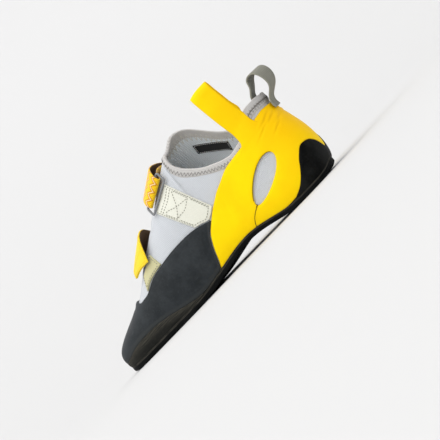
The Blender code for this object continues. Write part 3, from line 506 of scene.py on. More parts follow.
def skin(name, cols, rows, outer, inner, mats, closed=False, angle=40, merge=0.004):
    """a piece laid on the last: outer and inner are offsets, numbers or functions of (G, V, low, high, run, P)"""
    G, V, low, high, run = lay_grid(cols, rows)
    top = np.asarray(cols[3]) >= 0.999
    # where the far seam is the ridge itself it is no edge: count on from where the ridge begins
    along = np.concatenate([[0], np.cumsum(np.abs(np.diff(cols[2])))])
    i = 0
    ridge = np.zeros(len(top))
    while i < len(top):
        j = i
        while top[i] and j + 1 < len(top) and top[j + 1]:
            j += 1
        if top[i]:
            a = np.arange(i, j + 1)
            ridge[a] = np.minimum(along[a] - along[i], along[j] - along[a])
        i = j + 1
    high = high + ridge[:, None]
    base = S(G, V, 0.0 * G)
    run2 = np.broadcast_to(run[:, None], G.shape)
    do = outer(G, V, low, high, run2, base) if callable(outer) else np.full(G.shape, float(outer))
    di = inner(G, V, low, high, run2, base) if callable(inner) else np.full(G.shape, float(inner))
    P, Q = S(G, V, do), S(G, V, di)
    n, m = G.shape
    ring = bool(np.allclose(P[0], P[-1], atol=1e-3) and np.allclose(Q[0], Q[-1], atol=1e-3))
    high_wall = top[:-1] & top[1:]
    uv = np.stack([run2, low], -1).reshape(-1, 2)
    ed = np.stack([low, high], -1).reshape(-1, 2)
    return new_object(name, np.concatenate([P.reshape(-1, 3), Q.reshape(-1, 3)]), sheet_faces(n, m, ring, high_wall), mats,
                      np.concatenate([uv, uv]), np.concatenate([ed, ed]), angle, merge)


def even_rows(n, edge=()):
    """n even rows across, with extra rows at these mm from the low edge (+) or the high edge (-)"""
    rows = [(w, 0.0) for w in np.linspace(0, 1, n)]
    lows = [(0.0, e) for e in edge if e > 0]
    highs = [(1.0, e) for e in edge if e < 0]
    return [rows[0]] + sorted(lows, key=lambda r: r[1]) + rows[1:-1] + sorted(highs, key=lambda r: r[1]) + [rows[-1]]


def rise(d, reach):
    """0 at an edge to 1 at reach, rounded like a skived edge"""
    t = np.clip(np.asarray(d, float) / reach, 0, 1)
    return np.sqrt(np.clip(1 - (1 - t) ** 2, 0, 1))


def hill(x, centre, width):
    return np.exp(-((x - centre) / width) ** 2)


def frames(path):
    """tangents of a polyline"""
    t = np.gradient(path, axis=0)
    return t / np.maximum(np.linalg.norm(t, axis=1), 1e-9)[:, None]


def tube_mesh(path, radius, sides=8, closed=False):
    """tube round a polyline (mm)"""
    path = np.asarray(path, float)
    n = len(path)
    if closed:
        t = np.roll(path, -1, 0) - np.roll(path, 1, 0)
        t /= np.linalg.norm(t, axis=1)[:, None]
    else:
        t = frames(path)
    ref = np.array([0.0, 0.0, 1.0]) if abs(t[0, 2]) < 0.9 else np.array([1.0, 0.0, 0.0])
    u = np.cross(t[0], ref)
    u /= np.linalg.norm(u)
    U = []
    for k in range(n):
        u = u - t[k] * (u @ t[k])
        u /= np.linalg.norm(u)
        U.append(u)
    U = np.array(U)
    W = np.cross(t, U)
    a = np.linspace(0, 2 * math.pi, sides, endpoint=False)
    r = radius if np.ndim(radius) else np.full(n, radius)
    P = path[:, None] + (U[:, None] * np.cos(a)[None, :, None] + W[:, None] * np.sin(a)[None, :, None]) * np.asarray(r)[:, None, None]
    faces = []
    for i in range(n if closed else n - 1):
        for k in range(sides):
            j, l = (i + 1) % n, (k + 1) % sides
            faces.append((i * sides + k, i * sides + l, j * sides + l, j * sides + k))
    if not closed:
        faces.append(tuple(range(sides - 1, -1, -1)))
        faces.append(tuple((n - 1) * sides + k for k in range(sides)))
    return P.reshape(-1, 3), faces


class Bag:
    """collects small meshes into one piece"""
    def __init__(self):
        self.v, self.f, self.n = [], [], 0

    def add(self, v, f):
        self.v.append(np.asarray(v, float))
        self.f += [tuple(k + self.n for k in q) for q in f]
        self.n += len(v)

    def make(self, name, mat, angle=60):
        return new_object(name, np.concatenate(self.v), self.f, mat, angle=angle, merge=0)


def resample(P, step):
    P = np.asarray(P, float)
    s = np.concatenate([[0], np.cumsum(np.linalg.norm(np.diff(P, axis=0), axis=1))])
    q = np.linspace(0, s[-1], max(2, int(round(s[-1] / step)) + 1))
    return np.stack([np.interp(q, s, P[:, k]) for k in range(3)], 1), q


def stitches(bag, P, N, length, gap, radius, sink=0.35):
    """a row of thread stitches on the polyline P with surface normals N: each a short arched bead"""
    P, N = np.asarray(P, float), np.asarray(N, float)
    s = np.concatenate([[0], np.cumsum(np.linalg.norm(np.diff(P, axis=0), axis=1))])
    pitch = length + gap
    count = int(s[-1] // pitch)
    off = (s[-1] - count * pitch + gap) / 2
    h = np.array([0.0, 0.12, 0.3, 0.5, 0.7, 0.88, 1.0])
    for k in range(count):
        a = off + k * pitch + h * length
        c = np.stack([np.interp(a, s, P[:, j]) for j in range(3)], 1)
        n = np.stack([np.interp(a, s, N[:, j]) for j in range(3)], 1)
        n /= np.linalg.norm(n, axis=1)[:, None]
        lift = radius * (np.sin(h * math.pi) ** 0.5 * (1 + sink) - sink)
        r = radius * np.array([0.45, 0.8, 1.0, 1.0, 1.0, 0.8, 0.45])
        bag.add(*tube_mesh(c + n * lift[:, None], r, 6))


def surf_line(g, v, d, step=0.5):
    """polyline on the last with its normals, through stations g and fractions v"""
    g, v = np.asarray(g, float), np.asarray(v, float)
    P = S(g, v, np.full(g.shape, 0.0))
    s = np.concatenate([[0], np.cumsum(np.linalg.norm(np.diff(P, axis=0), axis=1))])
    q = np.linspace(0, s[-1], max(2, int(s[-1] / step) + 1))
    G, V = np.interp(q, s, g), np.interp(q, s, v)
    d = np.interp(q, s, np.broadcast_to(d, g.shape))
    n = _bilinear(NORMAL, G, V)
    n = n / np.linalg.norm(n, axis=-1)[..., None]
    return S(G, V, d), n


# ================================================================ materials
class Mat:
    """a principled material with short helpers for its nodes"""
    def __init__(self, name, rough=0.6, metal=0.0, sheen=0.0, sheen_rough=0.5, coat=0.0, coat_rough=0.3, spec=0.5, sheen_tint=(1, 1, 1)):
        self.m = bpy.data.materials.new(name)
        self.m.use_nodes = True
        self.nt = self.m.node_tree
        self.b = self.nt.nodes["Principled BSDF"]
        s = self.b.inputs
        s["Roughness"].default_value = rough
        s["Metallic"].default_value = metal
        s["Sheen Weight"].default_value = sheen
        s["Sheen Roughness"].default_value = sheen_rough
        s["Sheen Tint"].default_value = (*sheen_tint, 1)
        s["Coat Weight"].default_value = coat
        s["Coat Roughness"].default_value = coat_rough
        s["Specular IOR Level"].default_value = spec

    def node(self, kind, inputs=None, **props):
        n = self.nt.nodes.new(kind)
        for k, v in props.items():
            setattr(n, k, v)
        for k, v in (inputs or {}).items():
            if hasattr(v, "is_output"):
                self.nt.links.new(v, n.inputs[k])
            else:
                n.inputs[k].default_value = v
        return n

    def uv(self, name="UVMap"):
        return self.node("ShaderNodeUVMap", uv_map=name).outputs["UV"]

    def xyz(self, vec):
        return self.node("ShaderNodeSeparateXYZ", {"Vector": vec}).outputs

    def place(self):
        """object space in mm"""
        c = self.node("ShaderNodeTexCoord").outputs["Object"]
        return self.node("ShaderNodeVectorMath", {0: c, 1: (1000.0, 1000.0, 1000.0)}, operation="MULTIPLY").outputs[0]

    def scale(self, vec, s):
        s = (s, s, s) if not hasattr(s, "__len__") else s
        return self.node("ShaderNodeVectorMath", {0: vec, 1: s}, operation="MULTIPLY").outputs[0]

    def noise(self, vec, scale=1.0, detail=3.0, rough=0.55, distort=0.0):
        return self.node("ShaderNodeTexNoise", {"Vector": vec, "Scale": scale, "Detail": detail, "Roughness": rough, "Distortion": distort}).outputs["Fac"]

    def voronoi(self, vec, scale=1.0, feature="F1", rand=1.0):
        n = self.node("ShaderNodeTexVoronoi", {"Vector": vec, "Scale": scale, "Randomness": rand}, feature=feature)
        return n.outputs["Distance"]

    def math(self, op, a, b=0.0, c=0.0, clamp=False):
        return self.node("ShaderNodeMath", {0: a, 1: b, 2: c}, operation=op, use_clamp=clamp).outputs[0]

    def ramp(self, fac, lo, hi):
        """0 at lo, 1 at hi, smooth"""
        return self.node("ShaderNodeMapRange", {"Value": fac, "From Min": lo, "From Max": hi}, interpolation_type="SMOOTHSTEP").outputs[0]

    def mix(self, fac, a, b, blend="MIX"):
        a = (*a, 1) if isinstance(a, tuple) and len(a) == 3 else a
        b = (*b, 1) if isinstance(b, tuple) and len(b) == 3 else b
        n = self.node("ShaderNodeMix", data_type="RGBA", blend_type=blend)
        for k, v in (("Factor", fac), ("A", a), ("B", b)):
            sock = [s for s in n.inputs if s.name == k and (s.type == "RGBA" if k != "Factor" else s.type == "VALUE")][0]
            if hasattr(v, "is_output"):
                self.nt.links.new(v, sock)
            else:
                sock.default_value = v
        return [s for s in n.outputs if s.type == "RGBA"][0]

    def colour(self, c):
        if hasattr(c, "is_output"):
            self.nt.links.new(c, self.b.inputs["Base Color"])
        else:
            self.b.inputs["Base Color"].default_value = (*c, 1)

    def rough(self, r):
        self.nt.links.new(r, self.b.inputs["Roughness"])

    def bump(self, *layers):
        """layers of (height, depth in mm, strength)"""
        last = None
        for h, dist, strength in layers:
            n = self.node("ShaderNodeBump", {"Height": h, "Distance": dist * MM, "Strength": strength})
            if last is not None:
                self.nt.links.new(last, n.inputs["Normal"])
            last = n.outputs["Normal"]
        self.nt.links.new(last, self.b.inputs["Normal"])


def knit(name, colour, dark, rib=1.05, foot=0.0):
    m = Mat(name, rough=0.88, sheen=0.25, sheen_rough=0.5, spec=0.25)
    u = m.uv()
    x, y, _ = m.xyz(u)
    p = m.place()
    # wales run up the rib, courses round the girth
    wale = m.math("SINE", m.math("MULTIPLY", x, 2 * math.pi / rib))
    course = m.math("SINE", m.math("ADD", m.math("MULTIPLY", y, 2 * math.pi / (rib * 0.72)), m.math("MULTIPLY", m.math("ABSOLUTE", wale), 2.2)))
    loop = m.math("MULTIPLY", m.math("ADD", wale, 1.0), m.math("ADD", course, 1.3))
    fuzz = m.noise(p, 2.2, 4.0)
    broad = m.noise(p, 0.035, 3.0)
    c = m.mix(m.ramp(loop, 0.0, 3.2), dark, colour)
    c = m.mix(m.math("MULTIPLY", m.ramp(broad, 0.35, 0.7), 0.16), c, tuple(k * 0.86 for k in colour))
    c = m.mix(m.math("MULTIPLY", fuzz, 0.18), c, tuple(min(1.0, k * 1.12) for k in colour))
    # painted shade: the knit within foot mm of the feather line is near black, so the gaps under the rubber pieces read
    # dark
    if foot:
        lo, hi, _ = m.xyz(m.uv("Edge"))
        c = m.mix(m.ramp(lo, foot - 0.4, foot + 0.4), (0.012, 0.012, 0.013), c)
    m.colour(c)
    m.bump((loop, 0.20, 0.7), (fuzz, 0.14, 0.45))
    return m.m


def rubber(name, colour, grey, rough, grain=0.5, dust=0.25, buff_and_sheen=None, coat=0.0, spec=0.4, rub=None):
    """matt rubber: fine grain, faint moulding flow, dust and scuffs; buff = (mm from the low seam, colour) of a ground
    strip, on the toe patch a lighter band that is partly painted sheen; rub = the same from the top seam
    """
    m = Mat(name, rough=rough, coat=coat, coat_rough=0.35, spec=spec)
    p = m.place()
    fine, mid, broad = m.noise(p, 3.2, 4.0), m.noise(p, 0.5, 4.0, 0.6), m.noise(p, 0.045, 4.0, 0.6)
    scuff = m.noise(m.scale(p, (0.12, 0.03, 0.25)), 1.0, 6.0, 0.75)
    c = m.mix(m.math("MULTIPLY", m.ramp(broad, 0.38, 0.68), dust), colour, grey)
    c = m.mix(m.math("MULTIPLY", m.ramp(mid, 0.48, 0.75), dust * 0.6), c, grey)
    c = m.mix(m.math("MULTIPLY", m.ramp(scuff, 0.60, 0.72), dust * 0.8), c, grey)
    r = m.math("ADD", m.math("MULTIPLY", m.ramp(broad, 0.3, 0.7), 0.12), rough - 0.05)
    # painted highlight: on the toe patch this band along the low seam is lighter, partly buffed rubber and partly
    # painted sheen
    if buff_and_sheen:
        reach, bc = buff_and_sheen
        lo, hi, _ = m.xyz(m.uv("Edge"))
        edge = m.math("ADD", lo, m.math("MULTIPLY", m.math("SUBTRACT", mid, 0.5), 2.4))
        f = m.math("SUBTRACT", 1.0, m.ramp(edge, reach - 1.2, reach + 0.9))
        streak = m.noise(m.scale(m.uv(), (0.35, 3.0, 1.0)), 1.0, 3.0)
        c = m.mix(m.math("MULTIPLY", f, 0.85), c, m.mix(streak, bc, tuple(k * 1.7 for k in bc)))
        r = m.math("ADD", r, m.math("MULTIPLY", f, 0.15))
    if rub:
        reach, bc = rub
        lo, hi, _ = m.xyz(m.uv("Edge"))
        edge = m.math("ADD", hi, m.math("MULTIPLY", m.math("SUBTRACT", broad, 0.5), reach * 1.6))
        streak = m.noise(m.scale(m.uv(), (0.10, 1.6, 1.0)), 1.0, 3.0)
        f = m.math("MULTIPLY", m.math("SUBTRACT", 1.0, m.ramp(edge, reach * 0.2, reach)), m.ramp(streak, 0.30, 0.62))
        c = m.mix(m.math("MULTIPLY", f, 0.9), c, bc)
    m.colour(c)
    m.rough(m.math("MINIMUM", r, 0.97))
    m.bump((mid, 0.25, 0.16 * grain), (fine, 0.10, 0.45 * grain))
    return m.m


def yellow_panel(name):
    m = Mat(name, rough=0.50, spec=0.06)
    p = m.place()
    fine, mid, broad = m.noise(p, 2.6, 4.0), m.noise(p, 0.30, 4.0), m.noise(p, 0.030, 3.0)
    c = m.mix(m.ramp(broad, 0.35, 0.7), (0.975, 0.70, 0.0015), (0.955, 0.635, 0.0015))
    c = m.mix(m.math("MULTIPLY", m.ramp(mid, 0.55, 0.8), 0.25), c, (0.93, 0.585, 0.003))
    _, along, up = m.xyz(p)
    heel_shade = m.math("MULTIPLY", m.ramp(along, 62.0, 122.0), m.ramp(up, 8.0, 60.0))
    c = m.mix(m.math("MULTIPLY", heel_shade, 0.75), c, (0.955, 0.525, 0.0015))      # painted shade: the panel turns orange toward the heel's back and top, where it lies in shade
    lo, hi, _ = m.xyz(m.uv("Edge"))
    # painted shade: the colour turns brown-orange within about a millimetre of each piece's edges
    rim = m.math("SUBTRACT", 1.0, m.ramp(lo, 0.2, 1.4))
    c = m.mix(m.math("MULTIPLY", rim, 0.35), c, (0.55, 0.34, 0.01))
    m.colour(c)
    m.rough(m.math("ADD", m.math("MULTIPLY", mid, 0.18), 0.38))
    m.bump((mid, 0.22, 0.22), (fine, 0.06, 0.30))
    return m.m


def suede(name, colour, dark):
    m = Mat(name, rough=0.95, sheen=0.5, sheen_rough=0.6, spec=0.15, sheen_tint=tuple(min(1, k * 1.3) for k in colour))
    p = m.place()
    nap, mid, broad = m.noise(p, 3.0, 6.0, 0.7), m.noise(p, 0.55, 4.0, 0.6), m.noise(p, 0.11, 3.0)
    c = m.mix(m.ramp(nap, 0.3, 0.72), dark, colour)
    c = m.mix(m.math("MULTIPLY", m.ramp(broad, 0.4, 0.7), 0.3), c, tuple(k * 0.85 for k in colour))
    c = m.mix(m.math("MULTIPLY", m.ramp(mid, 0.5, 0.75), 0.22), c, tuple(min(1, k * 1.1) for k in colour))
    m.colour(c)
    m.bump((mid, 0.3, 0.25), (nap, 0.22, 0.6))
    return m.m


def webbing(name, colour, dark, pitch=1.5, zigzag=None, ridge=0.55, across=False):
    """woven tape: ribs along the tape, yarns across; zigzag = (second colour, third colour) of a plain woven chevron"""
    m = Mat(name, rough=0.8, sheen=0.2, spec=0.25)
    u = m.uv()
    x, y, _ = m.xyz(u)
    if across:
        x, y = y, x
    p = m.place()
    rib = m.math("SINE", m.math("MULTIPLY", y, 2 * math.pi / pitch))
    yarn = m.math("SINE", m.math("ADD", m.math("MULTIPLY", x, 2 * math.pi / (pitch * 0.55)), m.math("MULTIPLY", rib, 1.2)))
    fuzz = m.noise(p, 2.5, 3.0)
    weave = m.math("ADD", m.math("MULTIPLY", rib, 0.6), m.math("MULTIPLY", yarn, 0.4))
    c = m.mix(m.ramp(weave, -0.9, 0.4), dark, colour)
    if zigzag:
        second, third = zigzag
        tri = m.math("PINGPONG", y, 3.5)
        phase = m.math("ADD", x, m.math("MULTIPLY", tri, 1.1))
        band = m.math("PINGPONG", phase, 4.3)
        f = m.ramp(band, 2.3, 2.8)
        g = m.ramp(band, 3.75, 3.95)
        c = m.mix(m.math("MULTIPLY", f, 0.9), c, m.mix(m.ramp(weave, -0.9, 0.4), tuple(k * 0.6 for k in second), second))
        c = m.mix(m.math("MULTIPLY", g, 0.75), c, third)
    c = m.mix(m.math("MULTIPLY", fuzz, 0.15), c, dark)
    m.colour(c)
    m.bump((weave, 0.3, ridge), (fuzz, 0.1, 0.3))
    return m.m


def plain(name, colour, rough, grain=0.2, sheen=0.0, spec=0.4, vary=0.12, scale=1.2):
    m = Mat(name, rough=rough, sheen=sheen, spec=spec)
    p = m.place()
    fine, broad = m.noise(p, scale, 4.0), m.noise(p, 0.1, 3.0)
    c = m.mix(m.math("MULTIPLY", m.ramp(broad, 0.35, 0.7), vary * 2), colour, tuple(k * 0.7 for k in colour))
    c = m.mix(m.math("MULTIPLY", fine, vary), c, tuple(min(1, k * 1.3) for k in colour))
    m.colour(c)
    m.bump((fine, 0.12, grain))
    return m.m


KNIT = knit("knit_grey_blue", (0.755, 0.782, 0.825), (0.56, 0.588, 0.630), rib=1.25, foot=5.0)
LINING = knit("lining_knit", (0.88, 0.93, 0.97), (0.66, 0.71, 0.755), rib=1.7)
BLACK = rubber("black_rubber", (0.0014, 0.0016, 0.0016), (0.0200, 0.0210, 0.0205), 0.52, grain=0.9, dust=0.50, spec=0.06)
SOLE = rubber("sole_rubber", (0.0018, 0.0022, 0.0023), (0.0110, 0.0120, 0.0120), 0.58, grain=0.9, dust=0.45, spec=0.06)
BUFFED = rubber("buffed_rubber", (0.0085, 0.0090, 0.0082), (0.026, 0.0255, 0.022), 0.74, grain=1.5, dust=0.6, spec=0.10, rub=(7.5, (0.054, 0.051, 0.042)))
# the toe patch's lighter band along its low seam is partly buffed rubber and partly painted sheen
PATCH = rubber("charcoal_rubber", (0.0105, 0.0138, 0.0166), (0.0330, 0.0385, 0.0435), 0.50, grain=1.2, dust=0.62, buff_and_sheen=(3.4, (0.022, 0.0245, 0.0255)), spec=0.20)
YELLOW = yellow_panel("yellow_rubber")
CREAM = suede("cream_suede", (0.805, 0.808, 0.720), (0.655, 0.656, 0.572))
OLIVE = suede("olive_suede", (0.60, 0.575, 0.35), (0.45, 0.425, 0.24))
BAND = webbing("binding_knit", (0.58, 0.565, 0.550), (0.41, 0.395, 0.385), pitch=1.3, ridge=0.45)
STRAP = webbing("yellow_webbing", (0.95, 0.64, 0.004), (0.80, 0.46, 0.004), pitch=1.5, zigzag=((0.72, 0.27, 0.006), (0.95, 0.88, 0.55)))
FLAP = webbing("yellow_tape", (0.95, 0.72, 0.012), (0.80, 0.50, 0.005), pitch=1.2, ridge=0.4)
UNDER = plain("hook_brown", (0.10, 0.055, 0.025), 0.9, grain=0.6, scale=3.0)
LOOPW = webbing("grey_webbing", (0.265, 0.265, 0.215), (0.115, 0.112, 0.090), pitch=2.3, ridge=0.8)
RINGM = plain("ring_plastic", (0.20, 0.205, 0.215), 0.42, grain=0.08, spec=0.3)
BOARD = plain("insole_cloth", (0.060, 0.062, 0.065), 0.9, grain=0.5, scale=2.5)
THREAD_G = plain("thread_grey", (0.62, 0.61, 0.57), 0.7, grain=0.2, scale=6.0)
THREAD_Y = plain("thread_yellow", (0.90, 0.56, 0.01), 0.7, grain=0.2, scale=6.0)
THREAD_C = plain("thread_cream", (0.27, 0.265, 0.215), 0.8, grain=0.2, scale=6.0, spec=0.1)
# dark lines: the panel's seam, plus painted shadow round the heel and painted shade along the ovals' upper edges
SEAM_AND_SHADOW = plain("seam_and_shadow_dark", (0.055, 0.038, 0.010), 0.85, grain=0.1, spec=0.1)
THREAD_D = plain("thread_dark", (0.16, 0.155, 0.145), 0.7, grain=0.2, scale=6.0)
LABEL = plain("label_black", (0.010, 0.010, 0.011), 0.75, grain=0.2, scale=4.0)
LABEL_EDGE = plain("label_white", (0.75, 0.75, 0.74), 0.75, grain=0.2, scale=4.0)


# ================================================================ upper: the knit bootie and its lining
STEP = 1.9
FORE = [(g, EDGE, g, TOP) for g in (118.0, 126.5, 135, 144, 153, 162, 171, 180, 188.5, 197, 205.5, 214, 222.5, 231,
                                    239, 246.5, 254, 261.5, 269, 276.5, G_TOE)]


def whole_collar(step):
    """collar columns all round: heel's back, medial side, over the ridge, lateral side, and back to the heel"""
    return columns(COLLAR_M, step), columns(mirrored(COLLAR_L), step)


def loop_closed(cols):
    """the last column meets the first again"""
    return [np.append(q[:-1], q[0] + (G_TOT if k % 2 == 0 else 0.0)) for k, q in enumerate(cols)]


cm, cl = whole_collar(STEP)
fm, fl = columns(FORE, STEP, twin=True), columns(mirrored(FORE), STEP, twin=True)
run = loop_closed(join(join(join(cm[:4], fm), fl), cl[:4]))


def creases(P, G, V):
    """soft troughs of the bootie over the instep, where the straps pull it in, and beside the heel"""
    x, y, z = P[..., 0], P[..., 1], P[..., 2]
    top = smooth((V - 0.45) / 0.4)
    d = -0.55 * hill(y, -20.0 + 0.25 * x, 2.6) * top
    d += 0.40 * hill(y, -26.0 + 0.30 * x, 3.2) * top
    d += -0.40 * hill(y, -31.0 + 0.15 * x, 2.2) * top
    d += -0.50 * hill(y, 26.0 + 0.10 * x, 2.4) * top * smooth((z - 60) / 25)
    d += 0.30 * hill(y, 30.0 - 0.1 * x, 2.4) * top * smooth((z - 60) / 25)
    d += -0.45 * hill(y, -70.0 + 0.35 * x, 2.4) * top
    return d


upper = skin("knit_upper", run, even_rows(60), lambda G, V, lo, hi, r, P: np.minimum(creases(P, G, V), 0.45),
             lambda G, V, lo, hi, r, P: -WALL + 0.0 * G, [KNIT])
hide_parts("upper")

# lining: a thin ribbed skin just inside the bootie, turned down behind the collar
lining = skin("collar_lining", run, [(w, 0.0) for w in np.linspace(0.05, 1.0, 44)] + [(1.0, 1.0)], -WALL - 0.25, -WALL - 0.75, [LINING])

# ================================================================ collar binding with its zigzag stitching
band_cols = loop_closed([np.concatenate([a, b[1:]]) for a, b in zip(cm[2:], cl[2:])])
BAND_MID, BAND_R = -1.05, 1.75


def band_rows():
    rows, out, inn = [], [], []
    for mm in (0.0, 0.35, 0.9):
        rows.append((0.0, mm))
        out.append(BAND_MID + BAND_R * (0.55 + 0.4 * mm / 0.9))
        inn.append(BAND_MID - BAND_R * 0.9)
    for w in (0.15, 0.3, 0.45, 0.6, 0.75):
        rows.append((w, 0.0))
        out.append(BAND_MID + BAND_R + 0.12 * math.sin(math.pi * w))
        inn.append(BAND_MID - BAND_R * 0.95)
    for a in np.linspace(0, 90, 8):
        rows.append((1.0, -1.3 + 1.3 * math.sin(math.radians(a)) + 0.2))
        out.append(BAND_MID + BAND_R * math.cos(math.radians(a)))
        inn.append(BAND_MID - BAND_R * 0.95 * math.cos(math.radians(a)))
    return rows, np.array(out), np.array(inn)


b_rows, b_out, b_in = band_rows()
puck = lambda r: 0.10 * np.sin(r * 2 * math.pi / 3.1)
band = skin("collar_binding", band_cols, b_rows, lambda G, V, lo, hi, r, P: b_out[None, :] + puck(r) * (b_out > 0)[None, :], lambda G, V, lo, hi, r, P: b_in[None, :] + 0.0 * G,
            [BAND])
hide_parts("collar_band")


def zigzag_on(bag, cols, w_a, w_b, pitch, d, radius):
    """zigzag thread between two lines across a run of columns"""
    ga, va, gb, vb = cols
    line = lambda w: (ga * (1 - w) + gb * w, np.clip(va * (1 - w) + vb * w, 0, 1))
    gm, vm = line(0.5 * (w_a + w_b))
    P = S(gm, vm, np.full(gm.shape, d))
    s = np.concatenate([[0], np.cumsum(np.linalg.norm(np.diff(P, axis=0), axis=1))])
    n = int(s[-1] / pitch)
    q = (np.arange(2 * n + 1)) * s[-1] / (2 * n)
    pts = []
    for k, a in enumerate(q):
        w = w_a if k % 2 == 0 else w_b
        g, v = line(w)
        pts.append((np.interp(a, s, g), np.interp(a, s, v)))
    for (g0, v0), (g1, v1) in zip(pts, pts[1:]):
        if abs(g1 - g0) > 60:       # the step over the ridge from one side's stations to the other's
            continue
        h = np.linspace(0.04, 0.96, 5)
        P = S(g0 + (g1 - g0) * h, v0 + (v1 - v0) * h, d + radius * (np.sin(h * math.pi) ** 0.5 - 0.45))
        bag.add(*tube_mesh(P, radius * np.array([0.6, 1, 1, 1, 0.6]), 5))


bag = Bag()
zigzag_on(bag, band_cols, 0.14, 0.62, 3.3, BAND_MID + BAND_R + 0.05, 0.24)
bag.make("binding_stitches", THREAD_D)
bag = Bag()
zigzag_on(bag, band_cols, -0.30, 0.55, 4.4, BAND_MID - BAND_R * 0.95 - 0.18, 0.38)
bag.make("binding_stitches_inside", THREAD_G)

# painted shadow: a dark line round the heel, between the binding and the yellow panel
bag = Bag()
shadow_g, shadow_v = [np.clip(q, None, top) for q, top in ((band_cols[0] * 0.58 + band_cols[2] * 0.42, G_TOT), (band_cols[1] * 0.58 + band_cols[3] * 0.42, 1.0))]
for side in (1, -1):
    off = shadow_g if side > 0 else G_TOT - shadow_g
    keep = np.where((off > 0.2) & (off < 33.0))[0]
    keep = keep[np.argsort(off[keep])]
    P, N = surf_line(shadow_g[keep], shadow_v[keep], np.full(len(keep), BAND_MID + BAND_R + 0.12))
    bag.add(*tube_mesh(P, 0.26, 6))
bag.make("heel_shadow_line", SEAM_AND_SHADOW)

# ================================================================ sole
def ring_points(step):
    n = int(round(G_TOT / step * 1.0))
    g = np.arange(n) * G_TOT / n
    edge, root = S(g, np.zeros(n)), S(g, np.ones(n))
    d = edge[:, :2] - root[:, :2]
    r = np.linalg.norm(d, axis=1)
    return g, edge, root, d / r[:, None], r


def plate(name, profile, mats, step=1.6, merge=0.02, angle=40):
    """a plate that follows the feather line: profile rows are (share of the way out or None, mm past the feather line, z function, z added)"""
    g, edge, root, d, r = ring_points(step)
    n = len(g)
    rings, uv, run = [], [], np.concatenate([[0], np.cumsum(np.linalg.norm(np.diff(edge, axis=0), axis=1))])
    for share, mm, fz, dz in profile:
        rr = r * share + mm if share is not None else r + mm
        p = root[:, :2] + d * rr[:, None]
        z = fz(np.where(share is not None and share < 1, p[:, 1], edge[:, 1])) + dz
        rings.append(np.column_stack([p, z]))
        uv.append(np.column_stack([run, np.full(n, mm + (0 if share is None else (share - 1) * 30))]))
    m = len(rings)
    P = np.stack(rings, 1)
    idx = np.arange(n)[:, None] * m + np.arange(m)[None, :]
    nxt = np.roll(idx, -1, 0)
    q = np.stack([idx[:, :-1], nxt[:, :-1], nxt[:, 1:], idx[:, 1:]], -1).reshape(-1, 4)
    return new_object(name, P.reshape(-1, 3), q, mats, np.stack(uv, 1).reshape(-1, 2), None, angle, merge)


low, top = sole_z, lambda y: sole_z(y) + SOLE_T
B = 0.55
outsole = plate("outsole_rubber", [(0.0, 0, low, 0), (0.25, 0, low, 0), (0.5, 0, low, 0), (0.75, 0, low, 0), (0.92, 0, low, 0), (None, 0, low, 0), (None, SOLE_PROUD - 1.0, low, 0),
                                   (None, SOLE_PROUD - B, low, 0.06), (None, SOLE_PROUD - 0.16, low, 0.30), (None, SOLE_PROUD + 0.02, low, 0.85),
                                   (None, SOLE_PROUD + 0.10, low, 2.2), (None, SOLE_PROUD - 0.02, top, -0.45), (None, SOLE_PROUD - 0.18, top, 0.0), (None, SOLE_PROUD - 0.45, top, 0.20),
                                   (None, 1.6, top, 0.22), (None, 0.4, top, 0.18), (None, -0.6, top, 0), (0.92, 0, top, 0), (0.6, 0, top, 0), (0.3, 0, top, 0), (0.0, 0, top, 0)], [SOLE])
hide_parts("outsole")
bed = lambda y: edge_z(y) + 0.2
insole = plate("insole_bed", [(0.0, 0.0, bed, 0), (0.5, -1.0, bed, 0), (None, -1.9, bed, 0), (None, -1.75, bed, 0.9), (None, -2.0, bed, 1.6), (None, -2.6, bed, 1.8),
                              (0.9, -1.9, bed, 1.75), (0.7, -1.9, bed, 1.7), (0.4, -0.8, bed, 1.7), (0.0, 0.0, bed, 1.7)], [BOARD], step=3.0)
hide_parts("insole")

# the sole's edge is ground down flush with the rands: a slim bead closes the line between them
def bead_top(h):
    zz = GRID[:, 0, 2] + h
    return np.array([np.interp(zz[i], GRID[i, :, 2], np.linspace(0, 1, NV)) for i in range(NG)])


bead_g = np.arange(0, NG + 1, 2).astype(float)
bead_v = bead_top(1.95)[np.arange(0, NG + 1, 2) % NG]
bead = skin("sole_edge_bead", [bead_g, np.full(len(bead_g), 0.0), bead_g, bead_v], [(w, 0.0) for w in np.linspace(0, 1, 8)],
            lambda G, V, lo, hi, r, P: 2.75 - 0.35 * smooth(lo / 2.2) - 0.30 * (1 - rise(hi, 0.5)), lambda G, V, lo, hi, r, P: 0.12 + 0.0 * G, [BUFFED])

# ================================================================ toe rand and toe patch
toe = columns(TOE + mirrored(TOE)[1:], STEP, twin=True)
toe[5] = np.where(toe[5] > 0.955, 1.0, toe[5])
rear_m, rear_l = columns(PATCH_REAR, STEP), columns(mirrored(PATCH_REAR), STEP)
rand = skin("toe_rand_rubber", toe[:4], even_rows(12, (0.5, -0.25, -0.7)), lambda G, V, lo, hi, r, P: LIFT + RAND_T - 0.45 * (1 - rise(hi, 0.9)) + 0.10 * np.sin(r * 0.11) * smooth(lo / 2), LIFT, [BUFFED])
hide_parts("toe_rand")


def patch_out(G, V, lo, hi, r, P):
    end = np.minimum(r, r.max() - r)
    full = PATCH_T * (0.42 + 0.58 * rise(np.minimum(hi, end * 0.9), 5.0))
    y, x, z = P[..., 1], P[..., 0], P[..., 2]
    crease = -0.5 * hill(y, -84.0 + 0.30 * x, 2.0) * smooth((V - 0.35) / 0.5)
    crease += -0.35 * hill(y, -91.0 + 0.22 * x, 2.0) * smooth((V - 0.45) / 0.5) + 0.25 * hill(y, -87.5 + 0.26 * x, 2.2) * smooth((V - 0.4) / 0.5)
    swell = 0.35 * hill(y, -112.0, 10.0) * hill(x, 14.0, 14.0)
    return LIFT + full - 0.35 * (1 - rise(lo, 1.0)) + crease + swell


